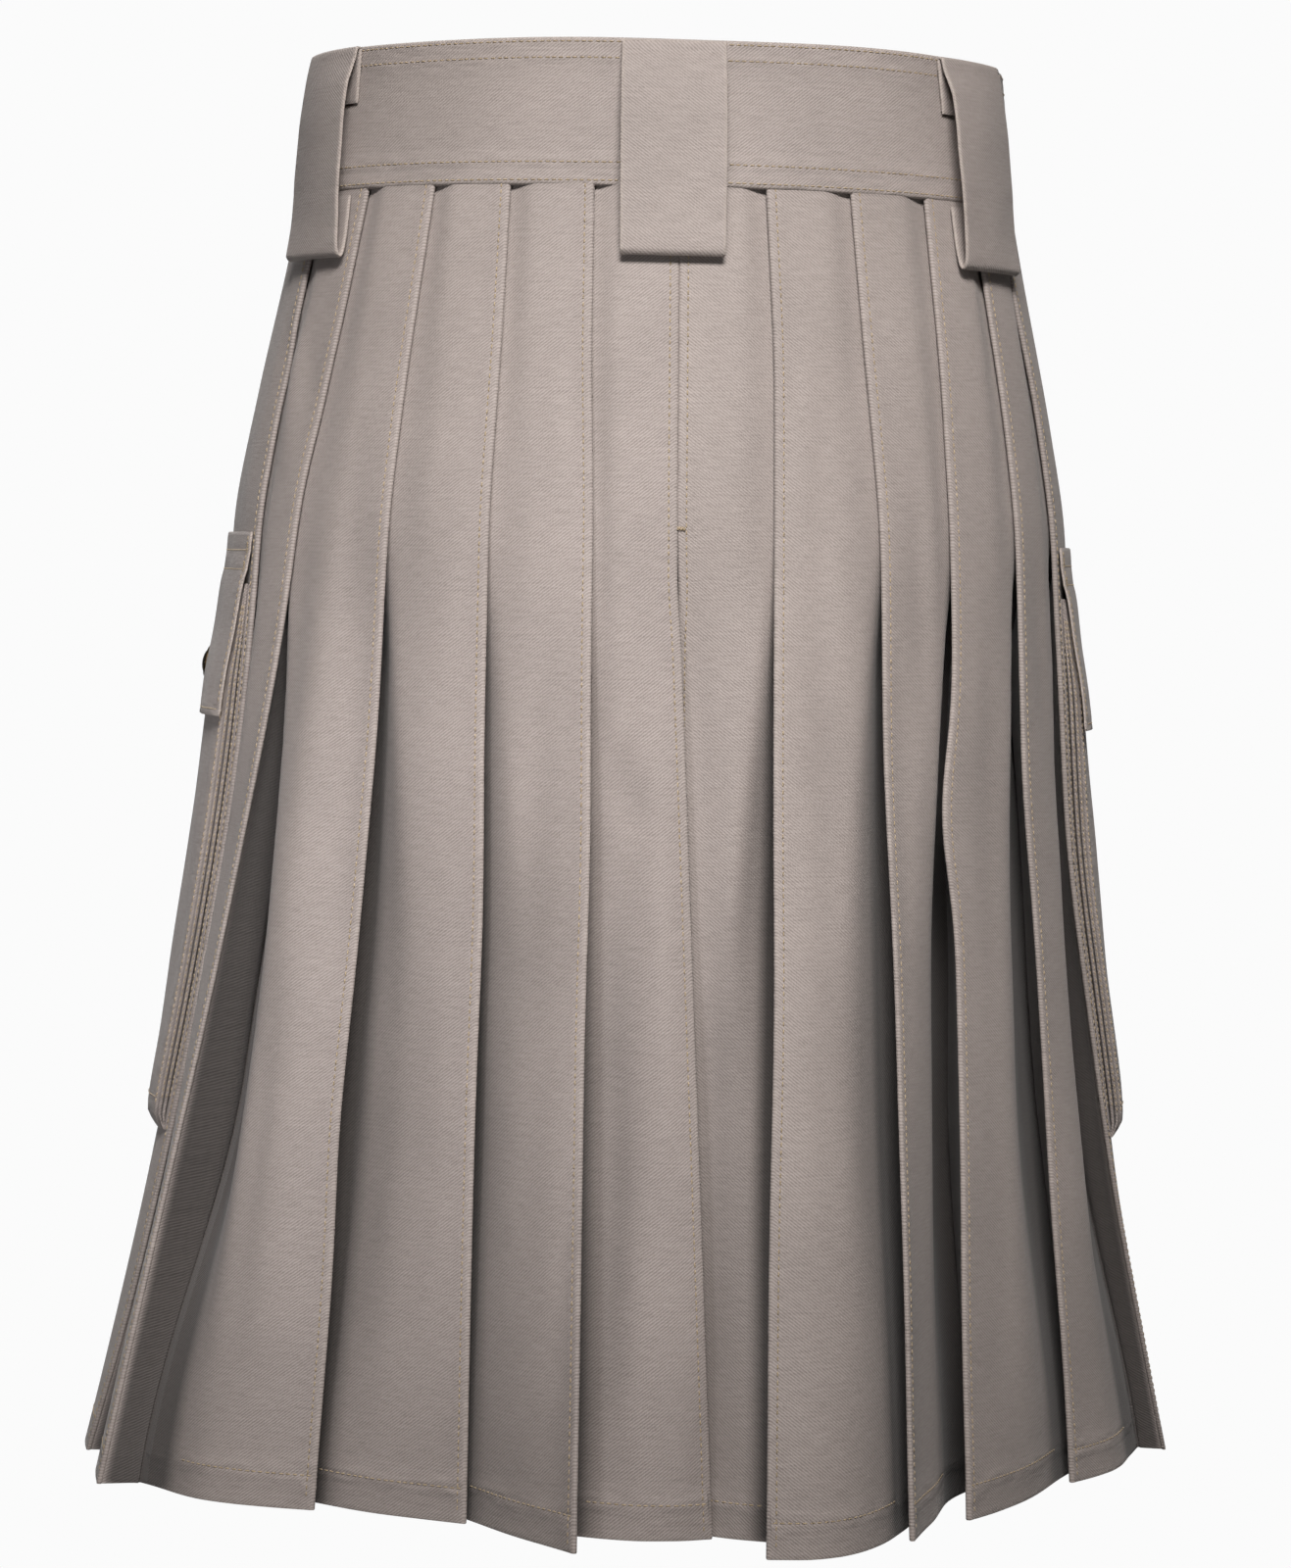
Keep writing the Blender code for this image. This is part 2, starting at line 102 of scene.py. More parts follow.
SECTIONS = (
    Section(-572.5, 241.5, 207.0, 172.0),
    Section(-166.0, 180.5, 148.0, 124.0),
    Section(-120.0, 173.0, 140.0, 120.0),
    Section(-83.0, 165.0, 133.0, 116.0),
    Section(-60.0, 160.0, 127.0, 113.0),
    Section(-30.5, 154.5, 119.0, 110.0),
    Section(30.5, 148.0, 108.0, 104.0),
)
LEFT_PLEATS = (
    Pleat(-1.9, -1.9, -1.9, (-22.0, 185.5), (14.0, 188.5), (52.0, 172.0)),
    Pleat(33.0, 33.5, 32.0, (34.0, 211.0), (63.0, 172.5), (94.0, 134.0)),
    Pleat(68.0, 71.0, 75.0, (76.5, 162.0), (117.0, 142.0), (162.0, 112.0)),
    Pleat(102.0, 112.0, 120.0, (138.0, 140.0), (183.0, 123.0), (215.6, 95.0)),
    Pleat(137.0, 153.0, 170.0, (229.0, 95.0), (231.0, 63.0), (226.0, 31.0)),
    Pleat(171.0, 190.0, 205.0, (238.0, 30.0), (0.0, 0.0), (0.0, 0.0)),
)
RIGHT_PLEATS = (
    Pleat(-4.0, -4.0, -4.0, (-8.0, 170.0), (-33.0, 187.0), (-62.0, 198.0)),
    Pleat(-40.0, -43.5, -44.0, (-43.0, 218.5), (-82.0, 204.0), (-110.0, 152.0)),
    Pleat(-77.0, -83.0, -90.0, (-104.0, 186.0), (-122.0, 134.0), (-140.0, 100.0)),
    Pleat(-114.0, -121.0, -125.0, (-131.0, 149.0), (-163.0, 108.0), (-196.0, 46.0)),
    Pleat(-145.0, -158.0, -166.0, (-185.0, 79.0), (-210.0, 47.0), (-227.0, 8.0)),
    Pleat(-167.0, -192.0, -209.0, (-236.0, 12.0), (0.0, 0.0), (0.0, 0.0)),
)
LEFT_CENTRE = ((-11.7, 157.0), (25.0, 160.0))
RIGHT_CENTRE = ((-12.3, 157.0), (-46.0, 168.0))
SIDE_SEAM = (304.0, 330.0, 352.0, 470.0)
BAND_FOOT = -30.5
RIM = 30.5
SKIRT_TOP = -30.8
MIDDLE = -100.0
RELEASE = -166.0
HEM = -572.5
HEM_TURN = 14.0


# ---------------------------------------------------------------- lines and surfaces


def glide(knots: np.ndarray, values: np.ndarray, wanted: np.ndarray) -> np.ndarray:
    """A smooth line through given values, which never swings past them.

    Args:
        knots: Where the values lie, rising, n of them.
        values: The values, shaped (..., n, d).
        wanted: Where the line is read.

    Returns:
        The line's values, shaped (..., len(wanted), d).
    """
    knots = np.asarray(knots, float)
    values = np.asarray(values, float)
    wanted = np.clip(wanted, knots[0], knots[-1])
    step = np.diff(knots)
    slope = np.diff(values, axis=-2) / step[:, None]
    lean = np.zeros_like(values)
    lean[..., 0, :] = slope[..., 0, :]
    lean[..., -1, :] = slope[..., -1, :]
    if len(knots) > 2:
        before, after = slope[..., :-1, :], slope[..., 1:, :]
        same = before * after > 0
        first = (2 * step[1:] + step[:-1])[:, None]
        second = (step[1:] + 2 * step[:-1])[:, None]
        safe_before = np.where(same, before, 1.0)
        safe_after = np.where(same, after, 1.0)
        mean = (first + second) / (first / safe_before + second / safe_after)
        lean[..., 1:-1, :] = np.where(same, mean, 0.0)
    i = np.clip(np.searchsorted(knots, wanted, "right") - 1, 0, len(knots) - 2)
    t = ((wanted - knots[i]) / step[i])[:, None]
    width = step[i][:, None]
    start, end = values[..., i, :], values[..., i + 1, :]
    leave, arrive = lean[..., i, :] * width, lean[..., i + 1, :] * width
    return (
        (2 * t**3 - 3 * t**2 + 1) * start
        + (t**3 - 2 * t**2 + t) * leave
        + (3 * t**2 - 2 * t**3) * end
        + (t**3 - t**2) * arrive
    )


def settle(values: np.ndarray, spread: float) -> np.ndarray:
    """Evens values out down their first axis, with the first and last left where they are.

    Args:
        values: Values at even steps, shaped (steps, ...).
        spread: How far the evening reaches, in steps.

    Returns:
        The evened values, in the same shape.
    """
    reach = int(math.ceil(3 * spread))
    weights = np.exp(-0.5 * (np.arange(-reach, reach + 1) / spread) ** 2)
    weights /= weights.sum()
    head = 2 * values[:1] - values[reach:0:-1]
    tail = 2 * values[-1:] - values[-2 : -reach - 2 : -1]
    padded = np.concatenate([head, values, tail])
    return sum(w * padded[k : k + len(values)] for k, w in enumerate(weights))


def walked(points: np.ndarray) -> np.ndarray:
    """The distance walked at each point of lines shaped (..., n, d)."""
    steps = np.linalg.norm(np.diff(points, axis=-2), axis=-1)
    return np.concatenate([np.zeros(steps.shape[:-1] + (1,)), np.cumsum(steps, axis=-1)], axis=-1)


def bell(distance: np.ndarray, width: float) -> np.ndarray:
    """A smooth hump of height 1 about distance 0."""
    return np.exp(-((distance / width) ** 2))


def ramp(value: np.ndarray, start: float, end: float) -> np.ndarray:
    """A smooth rise from 0 at start to 1 at end."""
    t = np.clip((np.asarray(value, float) - start) / (end - start), 0.0, 1.0)
    return t * t * (3 - 2 * t)


class Ring:
    """The body outline at one height, walked from the centre back toward the left."""

    def __init__(self, half_width: float, back: float, front: float) -> None:
        """Takes the outline's half sizes in millimetres."""
        turn = np.linspace(0.0, 2.0 * math.pi, 1441)
        wave, lean = np.sin(turn), np.cos(turn)
        power = 2.0 / BodyForm.roundness
        self.x = half_width * np.sign(wave) * np.abs(wave) ** power
        self.y = np.where(lean > 0, back, front) * np.sign(lean) * np.abs(lean) ** power
        self.along = walked(np.stack([self.x, self.y], axis=-1))
        self.length = float(self.along[-1])

    def point(self, along: float | np.ndarray) -> np.ndarray:
        """The outline point at this distance."""
        on = np.mod(along, self.length)
        return np.stack([np.interp(on, self.along, self.x), np.interp(on, self.along, self.y)], axis=-1)

    def at(self, along: float | np.ndarray, out: float | np.ndarray) -> np.ndarray:
        """The point at this distance, moved outward."""
        way = self.point(np.add(along, 1.0)) - self.point(np.subtract(along, 1.0))
        way /= np.linalg.norm(way, axis=-1, keepdims=True)
        beside = np.stack([-way[..., 1], way[..., 0]], axis=-1)
        return self.point(along) + np.asarray(out)[..., None] * beside

    def locate(self, place: tuple[float, float]) -> tuple[float, float]:
        """The distance along and outward of a plan point."""
        nearest = int(np.argmin(np.hypot(self.x - place[0], self.y - place[1])))
        along = float(self.along[nearest]) - (self.length if place[0] < 0 else 0.0)
        facing = self.at(along, 1.0) - self.at(along, 0.0)
        return along, float(np.dot(np.array(place) - self.at(along, 0.0), facing))


class BodyForm:
    """The smooth body that the kilt hangs round."""

    roundness = 2.15

    def __init__(self) -> None:
        """Reads the section table."""
        self.heights = [row.z for row in SECTIONS]
        self.rings: dict[float, Ring] = {}

    def sizes(self, z: float) -> list[float]:
        """Half width, back and front at a height."""
        return [float(np.interp(z, self.heights, [row[i] for row in SECTIONS])) for i in (1, 2, 3)]

    def ring(self, z: float) -> Ring:
        """The outline at a height."""
        key = round(float(z), 3)
        if key not in self.rings:
            self.rings[key] = Ring(*self.sizes(key))
        return self.rings[key]

    def facing(self, points: np.ndarray) -> np.ndarray:
        """The body's outward plan direction at points shaped (rows, columns, 3)."""
        z = points[:, 0, 2]
        a, back, front = (np.interp(z, self.heights, [row[i] for row in SECTIONS]) for i in (1, 2, 3))
        x, y = points[..., 0], points[..., 1]
        b = np.where(y > 0, back[:, None], front[:, None])
        power = self.roundness - 1
        gx = np.sign(x) * np.abs(x / a[:, None]) ** power / a[:, None]
        gy = np.sign(y) * np.abs(y / b) ** power / b
        out = np.stack([gx, gy], axis=-1)
        return out / np.linalg.norm(out, axis=-1, keepdims=True)


class Crease(NamedTuple):
    """A soft ridge or trough in hanging cloth; lengths in millimetres."""

    along: float
    height: float
    reach: float
    width: float
    depth: float
    tilt: float = 0.0
    bend: float = 0.0

    def lift(self, along: np.ndarray, height: np.ndarray) -> np.ndarray:
        """How far the cloth stands out here, negative in a trough.

        Args:
            along: Distances along the body at the hip line.
            height: Heights, broadcast against along.

        Returns:
            The lift in millimetres.
        """
        turn = math.radians(self.tilt)
        x, y = along - self.along, height - self.height
        across = math.cos(turn) * x - math.sin(turn) * y
        down = math.sin(turn) * x + math.cos(turn) * y
        q = np.clip(down / self.reach, -1.0, 1.0)
        across = across - self.bend * (1 - q * q)
        half = self.width * (1.0 - 0.3 * q)
        rims = 0.32 * bell(np.abs(across) - 2.0 * half, 1.1 * half)
        return self.depth * (1 - q * q) ** 2 * (bell(across, half) - rims)


class Kink(NamedTuple):
    """A sideways wave in one pleat's fold edge, toward the centre back where shift is positive."""

    pleat: int
    height: float
    spread: float
    shift: float


# ---------------------------------------------------------------- cloth grids and meshes


@dataclass
class Grid:
    """A sheet of cloth as rows and columns of points along its middle.

    Attributes:
        points: Middle of the cloth, shaped (rows, columns, 3), in millimetres.
        cloth: Place on the flat cloth, across and down the grain, in millimetres.
        wear_and_shade: How rubbed the cloth is, 0 to 1; below 0, down to -1, painted shade inside the pleats and where
            the cloth dives in.
        pucker: How drawn in by stitching the cloth is, 0 to 1.
        facing: 1 or -1, so that the normals point to the cloth's right side.
    """

    points: np.ndarray
    cloth: np.ndarray
    wear_and_shade: np.ndarray
    pucker: np.ndarray
    facing: float = 1.0

    def normals(self) -> np.ndarray:
        """Unit normals on the cloth's right side."""
        across = np.gradient(self.points, axis=1)
        down = np.gradient(self.points, axis=0)
        normal = self.facing * np.cross(across, down)
        return normal / np.maximum(np.linalg.norm(normal, axis=-1, keepdims=True), 1e-9)

    def line(self, rows: slice | int, columns: slice | int, lift: float) -> tuple[np.ndarray, np.ndarray]:
        """Points lifted off a row or column of the grid, and their normals."""
        normal = self.normals()[rows, columns]
        return self.points[rows, columns] + lift * normal, normal

    def flat_size(self) -> tuple[float, float, float]:
        """Width, length and area of the cut that shows, in metres."""
        width = float(walked(self.points)[:, -1].max()) * MM
        length = float(walked(np.swapaxes(self.points, 0, 1))[:, -1].max()) * MM
        a = np.diff(self.points, axis=0)[:, :-1]
        b = np.diff(self.points, axis=1)[:-1]
        area = float(np.linalg.norm(np.cross(a, b), axis=-1).sum()) * MM * MM
        return width, length, min(max(area, 0.31 * width * length), width * length)


def make_object(name: str, mesh: bpy.types.Mesh, surface: bpy.types.Material) -> bpy.types.Object:
    """Puts a mesh in the scene as a piece of the kilt.

    Args:
        name: The piece's name.
        mesh: Its mesh.
        surface: Its material.

    Returns:
        The piece, riding on the kilt.
    """
    mesh.materials.append(surface)
    piece = bpy.data.objects.new(name, mesh)
    bpy.context.scene.collection.objects.link(piece)
    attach(piece, "root")
    return piece


def shell(
    name: str,
    grid: Grid,
    outer: float | np.ndarray,
    inner: float | np.ndarray,
    surface: bpy.types.Material,
    rounding: float = 0.45,
) -> bpy.types.Object:
    """Makes a closed cloth shell about a grid.

    Args:
        name: The piece's name.
        grid: The middle of the cloth.
        outer: Distance from the middle to the right side, per point or for all.
        inner: Distance from the middle to the wrong side.
        surface: The cloth's material.
        rounding: Share of the thickness that is left at the raw rims.

    Returns:
        The piece.
    """
    rows, columns = grid.points.shape[:2]
    normal = grid.normals()
    taper = np.ones((rows, columns))
    taper[[0, -1], :] *= rounding
    taper[:, [0, -1]] *= rounding
    front = grid.points + (outer * taper)[..., None] * normal
    rear = grid.points - (inner * taper)[..., None] * normal
    points = np.concatenate([front.reshape(-1, 3), rear.reshape(-1, 3)]) * MM
    index = np.arange(rows * columns).reshape(rows, columns)
    back = index + rows * columns
    a, b, c, d = index[:-1, :-1], index[:-1, 1:], index[1:, 1:], index[1:, :-1]
    face_sets = [np.stack([a, d, c, b], -1).reshape(-1, 4)]
    face_sets.append(np.stack([a, b, c, d], -1).reshape(-1, 4) + rows * columns)
    for ends, side in ((index[0], back[0]), (index[-1][::-1], back[-1][::-1])):
        face_sets.append(np.stack([ends[:-1], ends[1:], side[1:], side[:-1]], -1))
    for ends, side in ((index[::-1, 0], back[::-1, 0]), (index[:, -1], back[:, -1])):
        face_sets.append(np.stack([ends[:-1], ends[1:], side[1:], side[:-1]], -1))
    faces = np.concatenate(face_sets)
    if grid.facing > 0:
        faces = faces[:, ::-1]
    mesh = mesh_of(name, points, faces, 50.0)
    cloth = np.tile(grid.cloth.reshape(-1, 2) * MM, (2, 1))
    layer = mesh.uv_layers.new(name="cloth")
    corners = np.empty(len(mesh.loops), np.int32)
    mesh.loops.foreach_get("vertex_index", corners)
    layer.data.foreach_set("uv", cloth[corners].astype(np.float32).ravel())
    # The attribute carries rubbed wear and, below 0, painted shade; the wrong side gets only the wear.
    for word, values in (("wear_and_shade", grid.wear_and_shade), ("pucker", grid.pucker)):
        spot = mesh.attributes.new(word, "FLOAT", "POINT")
        both = np.concatenate([values.ravel(), np.maximum(values, 0.0).ravel()])
        spot.data.foreach_set("value", both.astype(np.float32))
    return make_object(name, mesh, surface)


def mesh_of(name: str, points: np.ndarray, faces: np.ndarray, sharp: float) -> bpy.types.Mesh:
    """A smooth-shaded mesh from points in metres and faces, sharp above an angle in degrees."""
    mesh = bpy.data.meshes.new(name)
    mesh.from_pydata(points.tolist(), [], faces.tolist())
    mesh.update()
    mesh.shade_smooth()
    mesh.set_sharp_from_angle(angle=math.radians(sharp))
    return mesh


# ---------------------------------------------------------------- finishes


def linear(shade: str) -> tuple[float, float, float, float]:
    """An sRGB hex colour as linear light."""
    parts = [int(shade[i : i + 2], 16) / 255 for i in (1, 3, 5)]
    light = [v / 12.92 if v <= 0.04045 else ((v + 0.055) / 1.055) ** 2.4 for v in parts]
    return (*light, 1.0)


def add_node(tree: bpy.types.NodeTree, kind: str, sockets: dict | None = None, **settings) -> bpy.types.Node:
    """Adds a node.

    Args:
        tree: The material's node tree.
        kind: The node's type name, without its ShaderNode start.
        sockets: Values for its inputs, or sockets of other nodes that are linked to them.
        settings: The node's own settings.

    Returns:
        The new node.
    """
    made = tree.nodes.new("ShaderNode" + kind)
    for name, value in settings.items():
        setattr(made, name, value)
    for key, value in (sockets or {}).items():
        if isinstance(value, bpy.types.NodeSocket):
            tree.links.new(value, made.inputs[key])
        else:
            made.inputs[key].default_value = value
    return made


def blank_material(name: str) -> tuple[bpy.types.Material, bpy.types.NodeTree]:
    """An empty node material and its tree."""
    surface = bpy.data.materials.new(name)
    surface.use_nodes = True
    surface.node_tree.nodes.clear()
    return surface, surface.node_tree


@dataclass(frozen=True)
class CottonTwill:
    """Cotton twill: piece-dyed yarn, woven three over one, washed and pressed.

    It gives the eye a matt, slightly dusty taupe with fine diagonal ribs, paler where a fold
    has rubbed, and a faint nap that lightens it at a glancing angle. Painted shade darkens it
    inside the pleats, where the cloth dives in and in the pockets' folded gussets.
    """

    name: str = "cotton_twill_woven"
    colour: str = "#a39893"
    deep: str = "#786e69"
    rubbed: str = "#b9ada4"
    rib_mm: float = 1.05
    yarn_mm: float = 0.55
    roughness: float = 0.70
    nap: float = 0.10
    relief_mm: float = 0.16

    def material(self) -> bpy.types.Material:
        """Builds the material."""
        surface, tree = blank_material(self.name)
        cloth = add_node(tree, "UVMap", uv_map="cloth").outputs["UV"]
        # The real ribs lie about 0.6 mm apart; they are drawn twice as coarse so that they show.
        ribs_at = add_node(tree, "Mapping", {"Vector": cloth, "Rotation": (0, 0, math.radians(-52))})
        ribs = add_node(
            tree, "TexWave",
            {"Vector": ribs_at.outputs[0], "Scale": 0.314 / (self.rib_mm * MM), "Distortion": 0.9,
             "Detail": 1.0, "Detail Scale": 1.6},
            bands_direction="X",
        ).outputs["Fac"]
        yarn_at = add_node(tree, "Mapping", {"Vector": cloth, "Scale": (1.0, 0.16, 1.0)})
        yarn = add_node(
            tree, "TexNoise",
            {"Vector": yarn_at.outputs[0], "Scale": 1.0 / (self.yarn_mm * MM), "Detail": 2.0},
        ).outputs["Fac"]
        weft_at = add_node(tree, "Mapping", {"Vector": cloth, "Scale": (0.10, 1.0, 1.0)})
        weft = add_node(
            tree, "TexNoise",
            {"Vector": weft_at.outputs[0], "Scale": 1.0 / (0.9 * MM), "Detail": 1.0},
        ).outputs["Fac"]
        # Slow changes of dye and washing, about 70 mm and 15 mm across
        dye = add_node(tree, "TexNoise", {"Vector": cloth, "Scale": 14.0, "Detail": 3.0}).outputs["Fac"]
        threads = add_node(tree, "Math", {0: yarn, 1: weft}, operation="ADD").outputs[0]
        threads = add_node(tree, "Math", {0: threads, 1: ribs}, operation="ADD").outputs[0]
        tone = add_node(
            tree, "MapRange", {"Value": threads, "From Min": 0.75, "From Max": 2.05, "To Min": 0.1, "To Max": 0.95}
        ).outputs[0]
        base = add_node(tree, "Mix", {"Factor": tone}, data_type="RGBA")
        base.inputs[6].default_value = linear(self.deep)
        base.inputs[7].default_value = linear(self.colour)
        dye_and_shade = add_node(
            tree, "MapRange", {"Value": dye, "From Min": 0.3, "From Max": 0.7, "To Min": 0.93, "To Max": 1.05}
        ).outputs[0]
        wear_and_shade = add_node(tree, "Attribute", attribute_name="wear_and_shade").outputs["Fac"]
        # Painted shade: where the attribute is below 0 (inside the pleats, where the cloth dives in, and in the folded
        # gussets) the colour is darkened to as little as 0.24 of itself.
        painted_shade = add_node(
            tree, "MapRange", {"Value": wear_and_shade, "From Min": -1.0, "From Max": 0.0, "To Min": 0.24, "To Max": 1.0}
        ).outputs[0]
        dye_and_shade = add_node(tree, "Math", {0: dye_and_shade, 1: painted_shade}, operation="MULTIPLY").outputs[0]
        washed = add_node(
            tree, "VectorMath", {0: base.outputs[2], 1: dye_and_shade}, operation="MULTIPLY"
        ).outputs[0]
        rub = add_node(tree, "Math", {0: wear_and_shade, 1: yarn}, operation="MULTIPLY").outputs[0]
        worn = add_node(
            tree, "Mix", {"Factor": rub}, data_type="RGBA"
        )
        tree.links.new(washed, worn.inputs[6])
        worn.inputs[7].default_value = linear(self.rubbed)
        pucker = add_node(tree, "Attribute", attribute_name="pucker").outputs["Fac"]
        drawn_at = add_node(tree, "Mapping", {"Vector": cloth, "Scale": (0.35, 1.0, 1.0)})
        drawn = add_node(
            tree, "TexNoise", {"Vector": drawn_at.outputs[0], "Scale": 150.0, "Detail": 2.0}
        ).outputs["Fac"]
        drawn = add_node(tree, "Math", {0: drawn, 1: pucker}, operation="MULTIPLY").outputs[0]
        weave_bump = add_node(
            tree, "Bump", {"Height": threads, "Strength": 0.55, "Distance": self.relief_mm * MM}
        )
        pucker_bump = add_node(
            tree, "Bump",
            {"Height": drawn, "Strength": 0.7, "Distance": 2.2 * MM, "Normal": weave_bump.outputs[0]},
        )
        limp = add_node(tree, "TexNoise", {"Vector": cloth, "Scale": 42.0, "Detail": 3.0}).outputs["Fac"]
        hand_bump = add_node(
            tree, "Bump",
            {"Height": limp, "Strength": 0.35, "Distance": 1.1 * MM, "Normal": pucker_bump.outputs[0]},
        )
        shader = add_node(
            tree, "BsdfPrincipled",
            {
                "Base Color": worn.outputs[2], "Roughness": self.roughness, "IOR": 1.5,
                "Specular IOR Level": 0.45, "Sheen Weight": self.nap, "Sheen Roughness": 0.6,
                "Normal": hand_bump.outputs[0],
            },
        )
        add_node(tree, "OutputMaterial", {"Surface": shader.outputs[0]})
        return surface


@dataclass(frozen=True)
class SewingThread:
    """Polyester core-spun sewing thread, twisted and dyed tan: a soft, low shine."""

    name: str = "sewing_thread_twisted"
    colour: str = "#b39f82"
    dark: str = "#8d7b62"

    def material(self) -> bpy.types.Material:
        """Builds the material."""
        surface, tree = blank_material(self.name)
        place = add_node(tree, "TexCoord").outputs["Object"]
        # Plies are about 0.3 mm across; drawn at 0.8 mm so that the twist shows at all.
        twist = add_node(tree, "TexNoise", {"Vector": place, "Scale": 1.0 / (0.8 * MM), "Detail": 1.0})
        tone = add_node(tree, "Mix", {"Factor": twist.outputs["Fac"]}, data_type="RGBA")
        tone.inputs[6].default_value = linear(self.dark)
        tone.inputs[7].default_value = linear(self.colour)
        bump = add_node(tree, "Bump", {"Height": twist.outputs["Fac"], "Strength": 0.3, "Distance": 0.1 * MM})
        shader = add_node(
            tree, "BsdfPrincipled",
            {
                "Base Color": tone.outputs[2], "Roughness": 0.62, "IOR": 1.54,
                "Sheen Weight": 0.15, "Normal": bump.outputs[0],
            },
        )
        add_node(tree, "OutputMaterial", {"Surface": shader.outputs[0]})
        return surface


@dataclass(frozen=True)
class AntiqueBrass:
    """Pressed brass, darkened in a bath and rubbed back: brown in the hollows, gold on the rim."""

    name: str = "antique_brass_pressed"
    rubbed: str = "#9a7b45"
    dark: str = "#3b2f22"

    def material(self) -> bpy.types.Material:
        """Builds the material."""
        surface, tree = blank_material(self.name)
        place = add_node(tree, "TexCoord").outputs["Object"]
        stain = add_node(tree, "TexNoise", {"Vector": place, "Scale": 330.0, "Detail": 4.0}).outputs["Fac"]
        edge = add_node(tree, "NewGeometry").outputs["Pointiness"]
        high = add_node(
            tree, "MapRange", {"Value": edge, "From Min": 0.49, "From Max": 0.56, "To Min": 0.12, "To Max": 0.9}
        ).outputs[0]
        both = add_node(tree, "Math", {0: high, 1: stain}, operation="MULTIPLY").outputs[0]
        tone = add_node(tree, "Mix", {"Factor": both}, data_type="RGBA")
        tone.inputs[6].default_value = linear(self.dark)
        tone.inputs[7].default_value = linear(self.rubbed)
        rough = add_node(
            tree, "MapRange", {"Value": stain, "From Min": 0.3, "From Max": 0.7, "To Min": 0.28, "To Max": 0.5}
        ).outputs[0]
        # The spinning and pressing marks are about 0.3 mm apart.
        bump = add_node(tree, "Bump", {"Height": stain, "Strength": 0.15, "Distance": 0.08 * MM})
        shader = add_node(
            tree, "BsdfPrincipled",
            {"Base Color": tone.outputs[2], "Roughness": rough, "Metallic": 1.0, "Normal": bump.outputs[0]},
        )
        add_node(tree, "OutputMaterial", {"Surface": shader.outputs[0]})
        return surface


@dataclass(frozen=True)
class PaintedBackdrop:
    """Matt white painted studio board: even, pale and without shine."""

    name: str = "painted_board_matt"
    colour: str = "#f4f3f1"

    def material(self) -> bpy.types.Material:
        """Builds the material."""
        surface, tree = blank_material(self.name)
        place = add_node(tree, "TexCoord").outputs["Object"]
        roll = add_node(tree, "TexNoise", {"Vector": place, "Scale": 3.0, "Detail": 2.0}).outputs["Fac"]
        tone = add_node(tree, "Mix", {"Factor": roll}, data_type="RGBA")
        tone.inputs[6].default_value = linear(self.colour)
        tone.inputs[7].default_value = linear("#f8f8f7")
        shader = add_node(
            tree, "BsdfPrincipled", {"Base Color": tone.outputs[2], "Roughness": 0.95, "IOR": 1.45}
        )
        # Lit evenly for the eye from every side, while the kilt gets only what the board sends back
        even = add_node(tree, "Emission", {"Color": linear("#fbfbfb"), "Strength": 1.0})
        ray = add_node(tree, "LightPath").outputs["Is Camera Ray"]
        both = add_node(tree, "MixShader", {0: ray, 1: shader.outputs[0], 2: even.outputs[0]})
        add_node(tree, "OutputMaterial", {"Surface": both.outputs[0]})
        return surface


# ---------------------------------------------------------------- stitching


